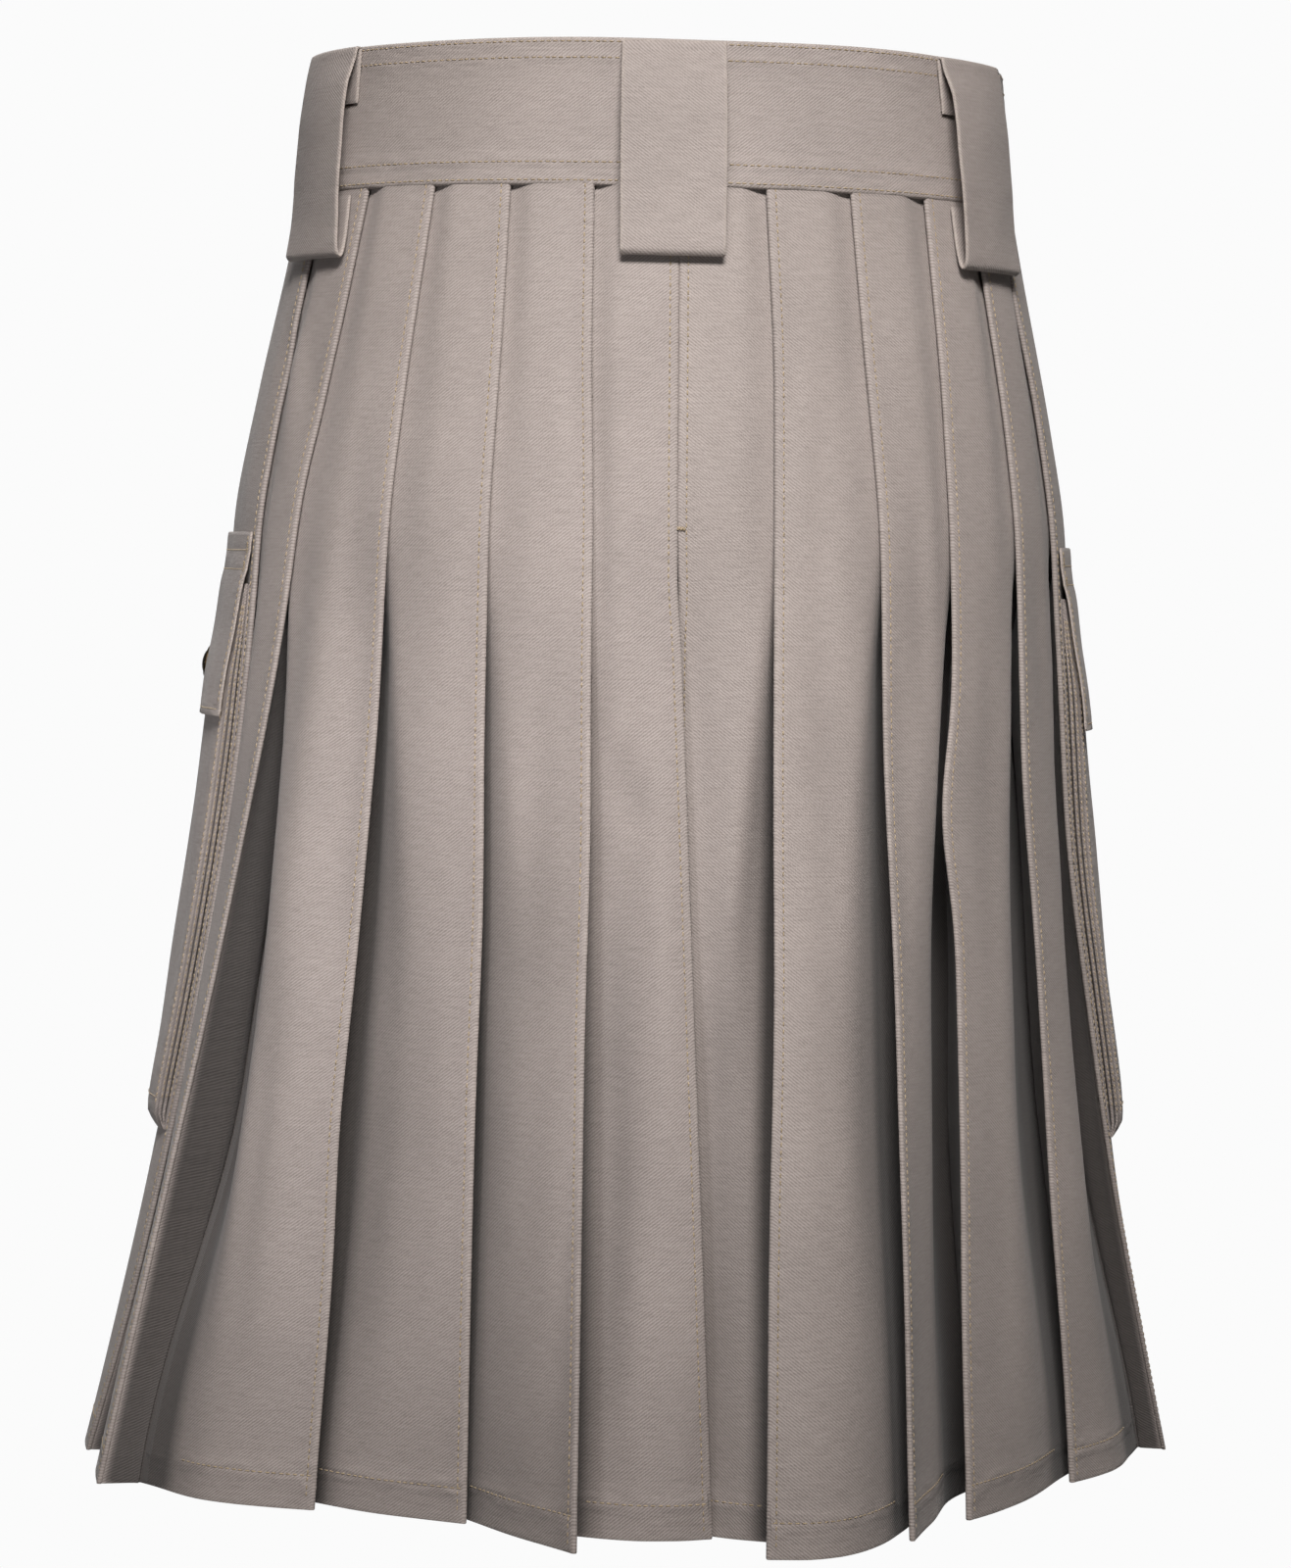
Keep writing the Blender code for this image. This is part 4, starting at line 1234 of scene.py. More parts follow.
@dataclass
class Apron:
    """A plain front panel; the over apron's free edge is at the wearer's right.

    Attributes:
        name: The solid's name.
        skirt: How columns hang.
        start: Where it starts, as a share of the front from the left side seam.
        end: Where it ends.
        out: How far it lies outside the side panels.
        rise: The share over which it climbs to that.
        creases: Soft creases; their along is the share of the front times 1000.
        half: Half the cloth's thickness.
    """

    name: str
    skirt: Skirt
    start: float
    end: float
    out: float
    rise: float
    creases: tuple[Crease, ...]
    columns: int = 110
    half: float = 0.36
    free_edge: bool = False

    def stations(self) -> list[Station]:
        """The columns as the solid has them, twice as many."""
        body = self.skirt.body
        left = SIDE_SEAM
        right = tuple(-value for value in SIDE_SEAM)
        rings = (body.ring(SKIRT_TOP), body.ring(MIDDLE), body.ring(RELEASE), body.ring(HEM))
        made = []
        for share in np.linspace(self.start, self.end, 40):
            widths = [ring.length + b - a for a, b, ring in zip(left, right, rings)]
            if share <= 0.5:
                along = [a + share * width for a, width in zip(left, widths)]
            else:
                along = [b - (1.0 - share) * width for b, width in zip(right, widths)]
            lifted = self.out * min(1.0, share / self.rise) if self.rise else self.out
            made.append(
                Station(*along[:3], lifted, rings[3].at(along[3], lifted), self.skirt.lean_front, 0.0)
            )
        return made

    def grid(self) -> Grid:
        """The middle of the cloth."""
        heights = skirt_heights()
        coarse = self.skirt.hang(self.stations(), heights)
        even = np.linspace(0.0, 1.0, self.columns)
        if self.free_edge:
            even = np.sort(np.concatenate([even[:-3], 1.0 - np.array([0.0, 2.0, 4.0, 5.2, 6.4, 14.0, 16.0, 18.0]) / 1000]))
        plan = glide(np.linspace(0, 1, coarse.shape[1]), coarse, even)
        share = (self.start + even * (self.end - self.start))[None] * np.ones((len(heights), 1))
        tall = np.broadcast_to(heights[:, None], share.shape)
        points = np.concatenate([plan, tall[..., None]], axis=-1)
        outward = self.skirt.body.facing(points)
        lift = sum(crease.lift(share * 1000, tall) for crease in self.creases)
        hold = ramp(share, 0.0, 0.07) * (1 - ramp(share, 0.95, 1.0)) * ramp(-tall, 30.8, 60.0)
        points[..., :2] += (lift * hold)[..., None] * outward
        across = walked(points)
        self.heights = heights
        free = across[:, -1:] - across
        cloth = np.stack([across + 300.0, tall], axis=-1)
        made = Grid(points, cloth, np.zeros_like(share), np.zeros_like(share), 1.0)
        hem = bell(tall - (HEM + HEM_TURN), 0.9)
        drawn = 0.2 * hem
        puckered = bell(tall - (HEM + HEM_TURN), 4.0)
        if self.free_edge:
            drawn = drawn + 0.2 * bell(free - 3.0, 0.9) + 0.2 * bell(free - 9.5, 0.9)
            puckered = puckered + bell(free - 3.0, 3.0) + bell(free - 9.5, 3.0)
            made.wear_and_shade = bell(free, 1.2)
        made.points = made.points - drawn[..., None] * made.normals()
        made.pucker = np.clip(puckered, 0, 1)
        made.wear_and_shade = np.clip(made.wear_and_shade + 0.5 * ramp(-tall, 571.2, 572.5), 0, 1)
        self.free = free
        return made

    def build(self, twill: bpy.types.Material, thread: bpy.types.Material) -> list[bpy.types.Object]:
        """Builds the cloth and its stitching.

        Args:
            twill: The cloth's material.
            thread: The thread's material.

        Returns:
            The cloth piece and its stitching.
        """
        cloth = self.grid()
        turned = 0.22 * ramp(-cloth.points[..., 2], -HEM - HEM_TURN - 0.6, -HEM - HEM_TURN + 1.4)
        piece = shell(f"{self.name}_cloth", cloth, self.half + 0.4 * turned, self.half + turned, twill)
        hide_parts(self.name)
        rows = Stitching(f"{self.name}_stitching", pitch=3.2)
        hem_row = int(np.argmin(np.abs(self.heights - (HEM + HEM_TURN))))
        points, normals = cloth.line(hem_row, slice(None), self.half + 0.1)
        rows.sew(points, normals, 2.0, 2.0)
        if self.free_edge:
            for inset in (3.0, 9.5):
                columns = np.argmin(np.abs(self.free - inset), axis=1)
                reach = np.arange(len(columns))
                normal = cloth.normals()[reach, columns]
                middle = cloth.points[reach, columns]
                rows.sew(middle + (self.half + 0.05) * normal, normal, 2.0, 2.0)
        sewn = rows.build(thread)
        width, length, area = cloth.flat_size()
        return [piece, sewn]


# ---------------------------------------------------------------- waistband and belt loops


@dataclass
class Waistband:
    """The stiffened band round the waist, its ends overlapping over the whole front.

    Attributes:
        body: The form it lies on.
        wall: Its thickness.
        lie: Distance of its middle from the body outline.
        over: The same where its outer end lies over the inner one.
    """

    body: BodyForm
    wall: float = 2.4
    lie: float = -0.3
    over: float = 3.0
    columns: int = 330
    rows: tuple[float, ...] = (
        30.5, 30.1, 29.3, 28.6, 27.8, 26.2, 24.0, 22.6, 21.9, 21.2, 19.0, 14.0, 8.0, 2.0, -4.0, -10.0,
        -16.0, -19.2, -20.4, -21.1, -21.8, -24.0, -27.0, -27.9, -28.6, -29.3, -30.1, -30.5,
    )
    seams: tuple[float, ...] = (28.6, 21.9, -21.1, -28.6)

    def grid(self) -> Grid:
        """The middle of the band."""
        points, alongs = [], []
        for z in self.rows:
            ring = self.body.ring(z)
            seam = SIDE_SEAM[0] - 0.18 * (z - BAND_FOOT)
            along = np.linspace(-(ring.length - seam) + 18.0, ring.length - seam + 2.0, self.columns)
            lift = ramp(along, seam - 2.0, seam + 17.0)
            ease = 0.35 * np.sin(along / 23.0 + 0.6) * np.sin(along / 61.0 + z / 19.0) * (lift < 0.01)
            rise = self.lie + lift * (self.over - self.lie) + ease * ramp(along, -290.0, -250.0)
            plan = ring.at(along, rise)
            wave = 0.5 * np.sin(along / 31.0 + 0.8) * np.sin(along / 77.0) * ramp(np.array(z), 0.0, 30.0)
            points.append(np.column_stack([plan, z + wave]))
            alongs.append(along)
        self.along = np.array(alongs)
        grid = np.array(points)
        tall = np.array(self.rows)[:, None] * np.ones((1, self.columns))
        pucker = np.clip(sum(bell(tall - s, 3.0) for s in self.seams), 0, 1)
        wear_and_shade = np.clip(0.8 * bell(tall - RIM, 1.0) + 0.5 * bell(tall - BAND_FOOT, 0.8), 0, 1)
        return Grid(grid, np.stack([self.along + 2000.0, tall], axis=-1), wear_and_shade, pucker, 1.0)

    def build(self, twill: bpy.types.Material, thread: bpy.types.Material) -> list[bpy.types.Object]:
        """Builds the band and its stitching.

        Args:
            twill: The cloth's material.
            thread: The thread's material.

        Returns:
            The band and its stitching.
        """
        self.cloth = self.grid()
        tall = np.array(self.rows)[:, None] * np.ones((1, self.columns))
        half = self.wall / 2
        # The band's long edges are folds, so they are round.
        near = np.clip((np.abs(tall) - (RIM - half)) / half, 0, 0.94)
        round_half = half * np.sqrt(1 - near**2)
        drawn = sum(0.22 * bell(tall - s, 0.8) for s in self.seams)
        piece = shell("waistband_cloth", self.cloth, round_half - drawn, round_half, twill, 1.0)
        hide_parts("waistband")
        rows = Stitching("waistband_stitching", pitch=2.9)
        shown = self.along[0] > -300.0
        for seam in self.seams:
            row = int(np.argmin(np.abs(np.array(self.rows) - seam)))
            points, normals = self.cloth.line(row, slice(None), half - 0.12)
            rows.sew(points[shown], normals[shown], 2.0, 3.0)
        for inset in (3, 6):
            points, normals = self.cloth.line(slice(3, -3), self.columns - inset, half + 0.05)
            rows.sew(points, normals, 0.5, 0.5)
        sewn = rows.build(thread)
        width, length, area = self.cloth.flat_size()
        return [piece, sewn]


@dataclass
class BeltLoop:
    """A wide hanging strip, folded under at both ends.

    Attributes:
        word: Its word in the names.
        body: The form it lies on.
        along: Its place at the rim.
        slant: How far along its foot lies from there.
        near_bow: How far it stands out at the edge nearer the centre back.
        far_bow: The same at the other edge.
        twist: How unevenly its two edges hang.
        width: Its width.
        half: Half its thickness.
    """

    word: str
    body: BodyForm
    along: float
    slant: float
    near_bow: float
    far_bow: float
    twist: float = 0.0
    width: float = 42.0
    half: float = 0.66

    @staticmethod
    def profile(bow: float) -> np.ndarray:
        """The strip's middle from the side: distance out, then height."""
        return np.array([
            (1.9, -33.0), (2.1, -45.0), (2.8, -55.5), (4.4, -58.8), (6.2, -57.0),
            (0.62 * bow + 1.5, -45.0), (bow, -22.0), (bow, -4.0), (0.80 * bow + 0.6, 12.0),
            (5.0, 24.5), (3.7, 29.3), (2.3, 29.3), (1.9, 26.0), (1.9, 6.0),
        ])

    def grid(self) -> Grid:
        """The middle of the strip."""
        shares = np.concatenate([[0, 0.012, 0.035, 0.07], np.linspace(0.13, 0.87, 9), [0.93, 0.965, 0.988, 1]])
        lines = []
        base = self.profile(9.0)
        knots = walked(base)
        fine = np.unique(np.concatenate([np.linspace(0, knots[-1], 70), np.linspace(knots[1], knots[5], 16), np.linspace(knots[8], knots[12], 16)]))
        for share in shares:
            far = share if self.along >= 0 else 1.0 - share
            bow = self.near_bow + far * (self.far_bow - self.near_bow)
            line = glide(knots, self.profile(bow), fine)
            across = (share - 0.5) * self.width
            column = []
            for step, (out, height) in enumerate(line):
                hang = (29.3 - height) / 88.0
                belly = max(0.0, (out - 4.0) / 6.0)
                sway = self.twist * belly * math.sin(math.pi * min(1.0, max(0.0, hang)))
                ripple = 0.28 * belly * math.sin(height / 6.5 + 3.0 * share) * (1 - abs(2 * share - 1))
                ring = self.body.ring(height)
                spot = ring.at(self.along + self.slant * hang + across + sway, out + ripple)
                column.append((*spot, height))
            lines.append(column)
        points = np.swapaxes(np.array(lines), 0, 1)
        across = np.broadcast_to((shares - 0.5)[None] * self.width, points.shape[:2])
        down = np.broadcast_to(-fine[:, None], points.shape[:2])
        edge = (0.5 - np.abs(shares - 0.5)) * self.width
        wear_and_shade = np.broadcast_to(0.8 * bell(edge, 0.9)[None], points.shape[:2]).copy()
        turn = walked(self.profile(9.0))
        for at in (turn[3], turn[10], turn[11]):
            wear_and_shade += 0.35 * bell(fine - at, 2.0)[:, None]
        cloth = np.stack([across + 500.0 + self.along, down], axis=-1)
        pucker = np.broadcast_to(0.4 * bell(edge, 5.0)[None], points.shape[:2]).copy()
        # Its right side is outside where the strip runs up its front, and inside at its two ends.
        return Grid(points, cloth, np.clip(wear_and_shade, 0, 1), pucker, -1.0)

    def build(self, twill: bpy.types.Material) -> list[bpy.types.Object]:
        """Builds the loop.

        Args:
            twill: The cloth's material.

        Returns:
            The loop, alone in a list.
        """
        cloth = self.grid()
        piece = shell(f"belt_loop_{self.word}_cloth", cloth, self.half, self.half, twill, 0.4)
        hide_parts(f"belt_loop_{self.word}")
        width, length, area = cloth.flat_size()
        return [piece]


# ---------------------------------------------------------------- pockets and snaps


@dataclass
class Pocket:
    """A gusseted pouch and its flap, sewn to one side panel.

    Attributes:
        half_skirt: The half whose side panel carries it.
        from_edge: Distance of its back edge from the last fold edge.
        width: Its width.
    """

    half_skirt: PleatedHalf
    from_edge: float = 2.5
    width: float = 132.0
    half: float = 0.36
    flap_half: float = 0.62
    pouch_rows: tuple[tuple[float, float], ...] = (
        (-196.0, 2.6), (-215.0, 4.4), (-240.0, 6.8), (-290.0, 7.2),
        (-350.0, 7.2), (-405.0, 7.0), (-423.0, 6.2), (-431.0, 1.4),
    )
    flap_rows: tuple[tuple[float, float], ...] = (
        (-174.0, 1.9), (-186.0, 2.6), (-197.0, 4.6), (-216.0, 6.4), (-238.0, 8.6), (-252.5, 8.9),
    )

    def panel_share(self, share: float) -> float:
        """The side panel's share under the pocket's share."""
        edge = abs(self.half_skirt.pleats[-1].release)
        return (self.from_edge + share * self.width) / (SIDE_SEAM[2] - edge)

    def at(self, share: float, z: float, out: float) -> np.ndarray:
        """A point this far outside the side panel's middle."""
        point, normal = self.half_skirt.side_surface(self.panel_share(share), z)
        flat = np.array([normal[0], normal[1], 0.0])
        return point + out * flat / np.linalg.norm(flat)

    def lofted(self, columns: list[tuple[float, float, float]], rows: np.ndarray, outs: np.ndarray) -> Grid:
        """A surface over the side panel.

        Args:
            columns: Each column's share across, its fixed distance out, and how much of the
                row's own distance it takes.
            rows: The rows' heights.
            outs: The rows' distances out.

        Returns:
            The surface.
        """
        points = np.array([
            [self.at(share, z, base + part * (out - base)) for share, base, part in columns]
            for z, out in zip(rows, outs)
        ])
        shares = np.array([c[0] for c in columns])
        cloth = np.stack(
            [
                np.broadcast_to(walked(points)[len(rows) // 2] + 1500.0, points.shape[:2]),
                np.broadcast_to(rows[:, None], points.shape[:2]),
            ],
            axis=-1,
        )
        blank = np.zeros(points.shape[:2])
        self.shares = shares
        return Grid(points, cloth, blank.copy(), blank.copy(), self.half_skirt.side.value)

    def pouch(self, twill: bpy.types.Material, rows: Stitching) -> bpy.types.Object:
        """Builds the pouch, with its folded gusset down both sides.

        Args:
            twill: The cloth's material.
            rows: The stitching that the pouch's seams go to.

        Returns:
            The pouch.
        """
        table = np.array(self.pouch_rows)
        heights = np.concatenate([np.linspace(-196.0, -405.0, 56), [-409.0, -413.0, -417.0, -421.0, -424.5, -427.5, -429.6, -431.0]])
        outs = glide(-table[:, 0], table[:, 1:], -heights)[:, 0]
        # Share across, distance out at the foot, and how much of the pouch's depth it has
        gusset = [
            (0.0, 0.95, 0.0), (0.016, 0.95, 0.0), (0.028, 0.95, 0.02), (0.031, 0.95, 0.14), (0.018, 0.95, 0.26),
            (0.009, 0.95, 0.33), (0.008, 0.95, 0.39), (0.018, 0.95, 0.45), (0.028, 0.95, 0.53),
            (0.018, 0.95, 0.61), (0.010, 0.95, 0.68), (0.009, 0.95, 0.74), (0.016, 0.95, 0.82),
            (0.020, 0.95, 0.92), (0.026, 0.95, 0.985), (0.040, 0.95, 1.0),
        ]
        middle = [(share, 0.95, 1.0) for share in np.linspace(0.07, 0.93, 24)]
        mirrored = [(1 - share, base, part) for share, base, part in gusset[::-1]]
        grid = self.lofted(gusset + middle + mirrored, heights, outs)
        normals = grid.normals()
        columns = np.arange(len(self.shares))
        edge = np.minimum(np.abs(columns - 6), np.minimum(np.abs(columns - 11), np.abs(columns - 14)))
        far = np.minimum(edge, edge[::-1])
        folded = (far < 12) & ((columns < 13) | (columns > len(columns) - 14)) & (columns > 1) & (columns < len(columns) - 2)
        # Rubbed paler on the gusset's fold edges; painted shade, as negative values, in the folded gusset beside them.
        wear_and_shade = np.where(far == 0, 0.3, np.where(folded, -0.6, 0.0))
        grid.wear_and_shade = np.broadcast_to(wear_and_shade[None], grid.wear_and_shade.shape).copy()
        grid.pucker = np.broadcast_to(np.where(far <= 2, 0.7, 0.0)[None], grid.wear_and_shade.shape).copy()
        sag = 0.5 * np.sin(heights / 17.0 + 0.4)[:, None] * np.sin(self.shares * 9.0 + 0.7)[None]
        sag += 0.7 * bell(heights[:, None] + 300.0, 26.0) * np.sin(self.shares * 21.0)[None]
        keep = ramp(self.shares, 0.05, 0.16) * (1 - ramp(self.shares, 0.84, 0.95)) * ramp(-heights, 200.0, 230.0)[:, None]
        grid.points = grid.points + (sag * keep)[..., None] * normals
        word = self.half_skirt.side.word
        piece = shell(f"pouch_{word}_cloth", grid, self.half, self.half, twill)
        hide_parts(f"pouch_{word}")
        for column in (1, 6, 11, 14, len(columns) - 2, len(columns) - 7, len(columns) - 12, len(columns) - 15):
            points, normal = grid.line(slice(2, -4), column, self.half + 0.02)
            rows.sew(points, normal, 1.0, 1.0)
        points, normal = grid.line(-6, slice(14, -14), self.half + 0.02)
        rows.sew(points, normal, 1.0, 1.0)
        width, length, area = grid.flat_size()
        return piece

    def flap(self, twill: bpy.types.Material, rows: Stitching) -> bpy.types.Object:
        """Builds the flap.

        Args:
            twill: The cloth's material.
            rows: The stitching that the flap's rows go to.

        Returns:
            The flap.
        """
        table = np.array(self.flap_rows)
        heights = np.concatenate([
            [-174.0, -174.6, -176.0, -178.0, -181.0, -181.8, -182.6, -185.0, -188.0, -189.2, -190.0, -190.8],
            np.linspace(-193.0, -247.0, 19), [-248.8, -249.6, -250.4, -251.6, -252.3, -252.5],
        ])
        outs = glide(-table[:, 0], table[:, 1:], -heights)[:, 0]
        near = np.array([-0.012, -0.008, 0.0, 0.006, 0.0115, 0.017, 0.03])
        shares = np.concatenate([near, np.linspace(0.07, 0.93, 22), (1 - near)[::-1]])
        grid = self.lofted([(share, 0.0, 1.0) for share in shares], heights, outs)
        normals = grid.normals()
        edge = (shares + 0.012) * self.width
        far = np.minimum(edge, edge[::-1])[None]
        foot = (heights + 252.5)[:, None]
        drawn = 0.22 * bell(far - 3.1, 0.8) + 0.22 * bell(foot - 2.9, 0.8)
        drawn = drawn + 0.2 * bell(heights + 181.8, 0.8)[:, None] + 0.2 * bell(heights + 190.0, 0.8)[:, None]
        curl = 0.8 * bell(foot, 14.0) * np.sin(shares * 8.0 + 0.8)[None] + 0.5 * np.sin(shares * 15.0)[None] * ramp(-heights, 195.0, 235.0)[:, None]
        grid.points = grid.points + (np.abs(curl) * 0.8 - drawn)[..., None] * normals
        grid.wear_and_shade = np.clip(0.9 * bell(far, 0.9) + 0.9 * bell(foot, 0.9), 0, 1) * np.ones_like(grid.wear_and_shade)
        grid.pucker = np.clip(bell(far - 3.0, 3.0) + bell(foot - 3.0, 3.0) + bell(heights + 186.0, 6.0)[:, None], 0, 1)
        word = self.half_skirt.side.word
        piece = shell(f"flap_{word}_cloth", grid, self.flap_half, self.flap_half, twill, 0.4)
        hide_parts(f"flap_{word}")
        lift = self.flap_half + 0.02
        for height in (-181.8, -190.0):
            row = int(np.argmin(np.abs(heights - height)))
            points, normal = grid.line(row, slice(1, -1), lift)
            rows.sew(points, normal, 0.5, 0.5)
        for column in (4, len(shares) - 5):
            points, normal = grid.line(slice(1, -4), column, lift)
            rows.sew(points, normal, 0.5, 0.5)
        points, normal = grid.line(len(heights) - 5, slice(4, -4), lift)
        rows.sew(points, normal, 0.5, 0.5)
        for column in (3, len(shares) - 4):
            for row in (5, 10):
                place, normal = grid.line(row, column, lift + 0.15)
                rows.tack(place, np.array([0.0, 0.0, 1.0]), normal, 6.5, 1.9)
        width, length, area = grid.flat_size()
        return piece

    def build(self, twill: bpy.types.Material, thread: bpy.types.Material) -> list[bpy.types.Object]:
        """Builds the pocket.

        Args:
            twill: The cloth's material.
            thread: The thread's material.

        Returns:
            The pouch, the flap and their stitching.
        """
        rows = Stitching(f"pocket_{self.half_skirt.side.word}_stitching", pitch=2.8, length=2.1)
        pieces = [self.pouch(twill, rows), self.flap(twill, rows)]
        return [*pieces, rows.build(thread)]


@dataclass
class SnapCap:
    """A turned snap cap with a rolled rim and a low dome, seated where the solid's cap is."""

    node: str

    def build(self, brass: bpy.types.Material) -> list[bpy.types.Object]:
        """Builds the cap.

        Args:
            brass: The cap's material.

        Returns:
            The cap, alone in a list.
        """
        points = np.array([tuple(v.co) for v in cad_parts[self.node].data.vertices]) / MM
        seat, facing = self.seat(points)
        across = np.cross(facing, (0.0, 0.0, 1.0))
        across /= np.linalg.norm(across)
        upward = np.cross(across, facing)
        profile = np.array([
            (0.0, 6.1), (0.1, 6.6), (0.45, 6.92), (0.95, 7.0), (1.4, 6.85), (1.62, 6.4), (1.6, 5.95),
            (1.42, 5.7), (1.5, 5.45), (1.9, 5.1), (2.4, 4.4), (2.85, 3.3), (3.15, 2.0), (3.3, 0.9), (3.36, 0.12),
        ])
        turns = np.linspace(0, 2 * np.pi, 56, endpoint=False)
        rings = []
        for height, radius in profile:
            ring = np.cos(turns)[:, None] * across + np.sin(turns)[:, None] * upward
            rings.append(seat + height * facing + radius * ring)
        grid = np.array(rings)
        count = len(turns)
        index = np.arange(len(profile) * count).reshape(len(profile), count)
        after = np.roll(index, -1, axis=1)
        quads = np.stack([index[:-1], after[:-1], after[1:], index[1:]], -1).reshape(-1, 4).tolist()
        faces = quads + [index[0][::-1].tolist(), index[-1].tolist()]
        mesh = bpy.data.meshes.new(f"{self.node}_cap")
        mesh.from_pydata((grid.reshape(-1, 3) * MM).tolist(), [], faces)
        mesh.update()
        mesh.shade_smooth()
        mesh.set_sharp_from_angle(angle=math.radians(50))
        piece = make_object(f"{self.node}_cap", mesh, brass)
        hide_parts(self.node)
        return [piece]

    @staticmethod
    def seat(points: np.ndarray) -> tuple[np.ndarray, np.ndarray]:
        """The solid cap's seat and the way it faces: its thinnest direction, outward."""
        spread = points - points.mean(axis=0)
        facing = np.linalg.svd(spread, full_matrices=False)[2][-1]
        if np.dot(facing[:2], points.mean(axis=0)[:2]) < 0:
            facing = -facing
        low = float((points @ facing).min())
        middle = points.mean(axis=0)
        return middle + (low - float(middle @ facing)) * facing, facing


# ---------------------------------------------------------------- floor, light and camera


@dataclass
class Studio:
    """A pale floor that curves up behind the kilt, soft lights, and the camera.

    Attributes:
        distance: Of the camera from the kilt's axis, in metres.
        turn: Of the camera round the kilt, toward its left, in degrees.
        height: Of the camera, in metres.
        down: Its tilt down, in degrees.
        roll: Its roll, in degrees.
        focal_pixels: Its focal length in the photograph's pixels.
        frame_pixels: The photograph's longer side.
    """

    distance: float = 1.80
    turn: float = 3.0
    height: float = -0.183
    down: float = 3.12
    roll: float = 1.12
    focal_pixels: float = 4180.0
    frame_pixels: float = 1600.0
    floor_z: float = -1.9

    def camera(self) -> None:
        """Places the camera at the photograph's angle."""
        turn, down, roll = (math.radians(v) for v in (self.turn, self.down, self.roll))
        ahead = Vector((-math.sin(turn), -math.cos(turn), 0.0))
        right = ahead.cross(Vector((0, 0, 1)))
        facing = ahead * math.cos(down) + Vector((0, 0, -1)) * math.sin(down)
        up = right.cross(facing)
        side = right * math.cos(roll) + up * math.sin(roll)
        over = up * math.cos(roll) - right * math.sin(roll)
        place = Vector((self.distance * math.sin(turn), self.distance * math.cos(turn), self.height))
        lens = bpy.data.cameras.new("camera")
        lens.sensor_width = 36.0
        lens.lens = 36.0 * self.focal_pixels / self.frame_pixels
        lens.clip_end = 30.0
        camera = bpy.data.objects.new("camera", lens)
        rows = [[side[i], over[i], -facing[i], place[i]] for i in range(3)]
        camera.matrix_world = Matrix([*rows, [0, 0, 0, 1]])
        bpy.context.scene.collection.objects.link(camera)
        bpy.context.scene.camera = camera

    def floor(self) -> None:
        """Builds the floor and the backdrop behind it."""
        radius, reach, tall = 0.9, 3.4, 3.6
        turns = np.linspace(0, np.pi / 2, 24)
        line = [(4.5, self.floor_z)]
        line += [(-reach + radius - radius * math.sin(t), self.floor_z + radius - radius * math.cos(t)) for t in turns]
        line.append((-reach, tall))
        xs = np.linspace(-4.5, 4.5, 13)
        points = np.array([[(x, y, z) for x in xs] for y, z in line])
        index = np.arange(points.shape[0] * 13).reshape(-1, 13)
        faces = np.stack([index[:-1, :-1], index[1:, :-1], index[1:, 1:], index[:-1, 1:]], -1).reshape(-1, 4)
        mesh = mesh_of("studio_floor", points.reshape(-1, 3), faces, 60.0)
        mesh.materials.append(PaintedBackdrop().material())
        floor = bpy.data.objects.new("studio_floor", mesh)
        bpy.context.scene.collection.objects.link(floor)

    @staticmethod
    def lamp(
        name: str, place: tuple, aim: tuple, size: tuple, watts: float, tint: str, spread: float = 180.0
    ) -> None:
        """Hangs a soft panel light.

        Args:
            name: The light's name.
            place: Where it hangs.
            aim: What it points at.
            size: Its width and height.
            watts: Its power.
            tint: Its colour.
            spread: How wide it shines, in degrees.
        """
        light = bpy.data.lights.new(name, "AREA")
        light.shape = "RECTANGLE"
        light.size, light.size_y = size
        light.energy = watts
        light.spread = math.radians(spread)
        light.color = linear(tint)[:3]
        lamp = bpy.data.objects.new(name, light)
        lamp.location = place
        lamp.rotation_euler = (Vector(place) - Vector(aim)).to_track_quat("Z", "Y").to_euler()
        bpy.context.scene.collection.objects.link(lamp)

    def light(self) -> None:
        """Hangs the lights and sets the soft surroundings."""
        self.lamp("key_softbox", (-0.02, 1.42, 1.00), (0.0, 0.10, -0.20), (0.8, 0.4), 3.85, "#fffdfb", 46.0)
        self.lamp("left_strip", (0.75, 1.60, -0.35), (0.16, 0.13, -0.32), (0.3, 0.3), 0.30, "#fbfcff", 26.0)
        self.lamp("right_strip", (-1.20, 1.20, -0.60), (-0.15, 0.12, -0.42), (0.3, 0.5), 0.16, "#fffdfb", 44.0)
        self.lamp("front_softbox", (0.4, -2.0, 1.6), (0.0, 0.0, -0.3), (1.6, 1.6), 3.4, "#ffffff", 50.0)
        self.lamp("backdrop_high", (0.0, -1.9, 1.7), (0.0, -3.3, -0.3), (2.2, 0.5), 38.0, "#ffffff", 100.0)
        self.lamp("backdrop_low", (0.0, -1.6, -1.75), (0.0, -3.4, -1.0), (2.2, 0.2), 14.0, "#ffffff", 110.0)
        world = bpy.data.worlds.new("studio")
        world.use_nodes = True
        tree = world.node_tree
        tree.nodes.clear()
        # The room's walls look white from every side, but only a little light comes back from them.
        shone = add_node(tree, "Background", {"Color": linear("#f6f7fa"), "Strength": 0.035})
        seen = add_node(tree, "Background", {"Color": linear("#fbfbfb"), "Strength": 1.0})
        ray = add_node(tree, "LightPath").outputs["Is Camera Ray"]
        walls = add_node(tree, "MixShader", {0: ray, 1: shone.outputs[0], 2: seen.outputs[0]})
        add_node(tree, "OutputWorld", {"Surface": walls.outputs[0]})
        bpy.context.scene.world = world
        bpy.context.scene.view_settings.view_transform = "Standard"

    def build(self) -> None:
        """Builds the studio."""
        self.camera()
        self.floor()
        self.light()


# ---------------------------------------------------------------- the kilt's own creases

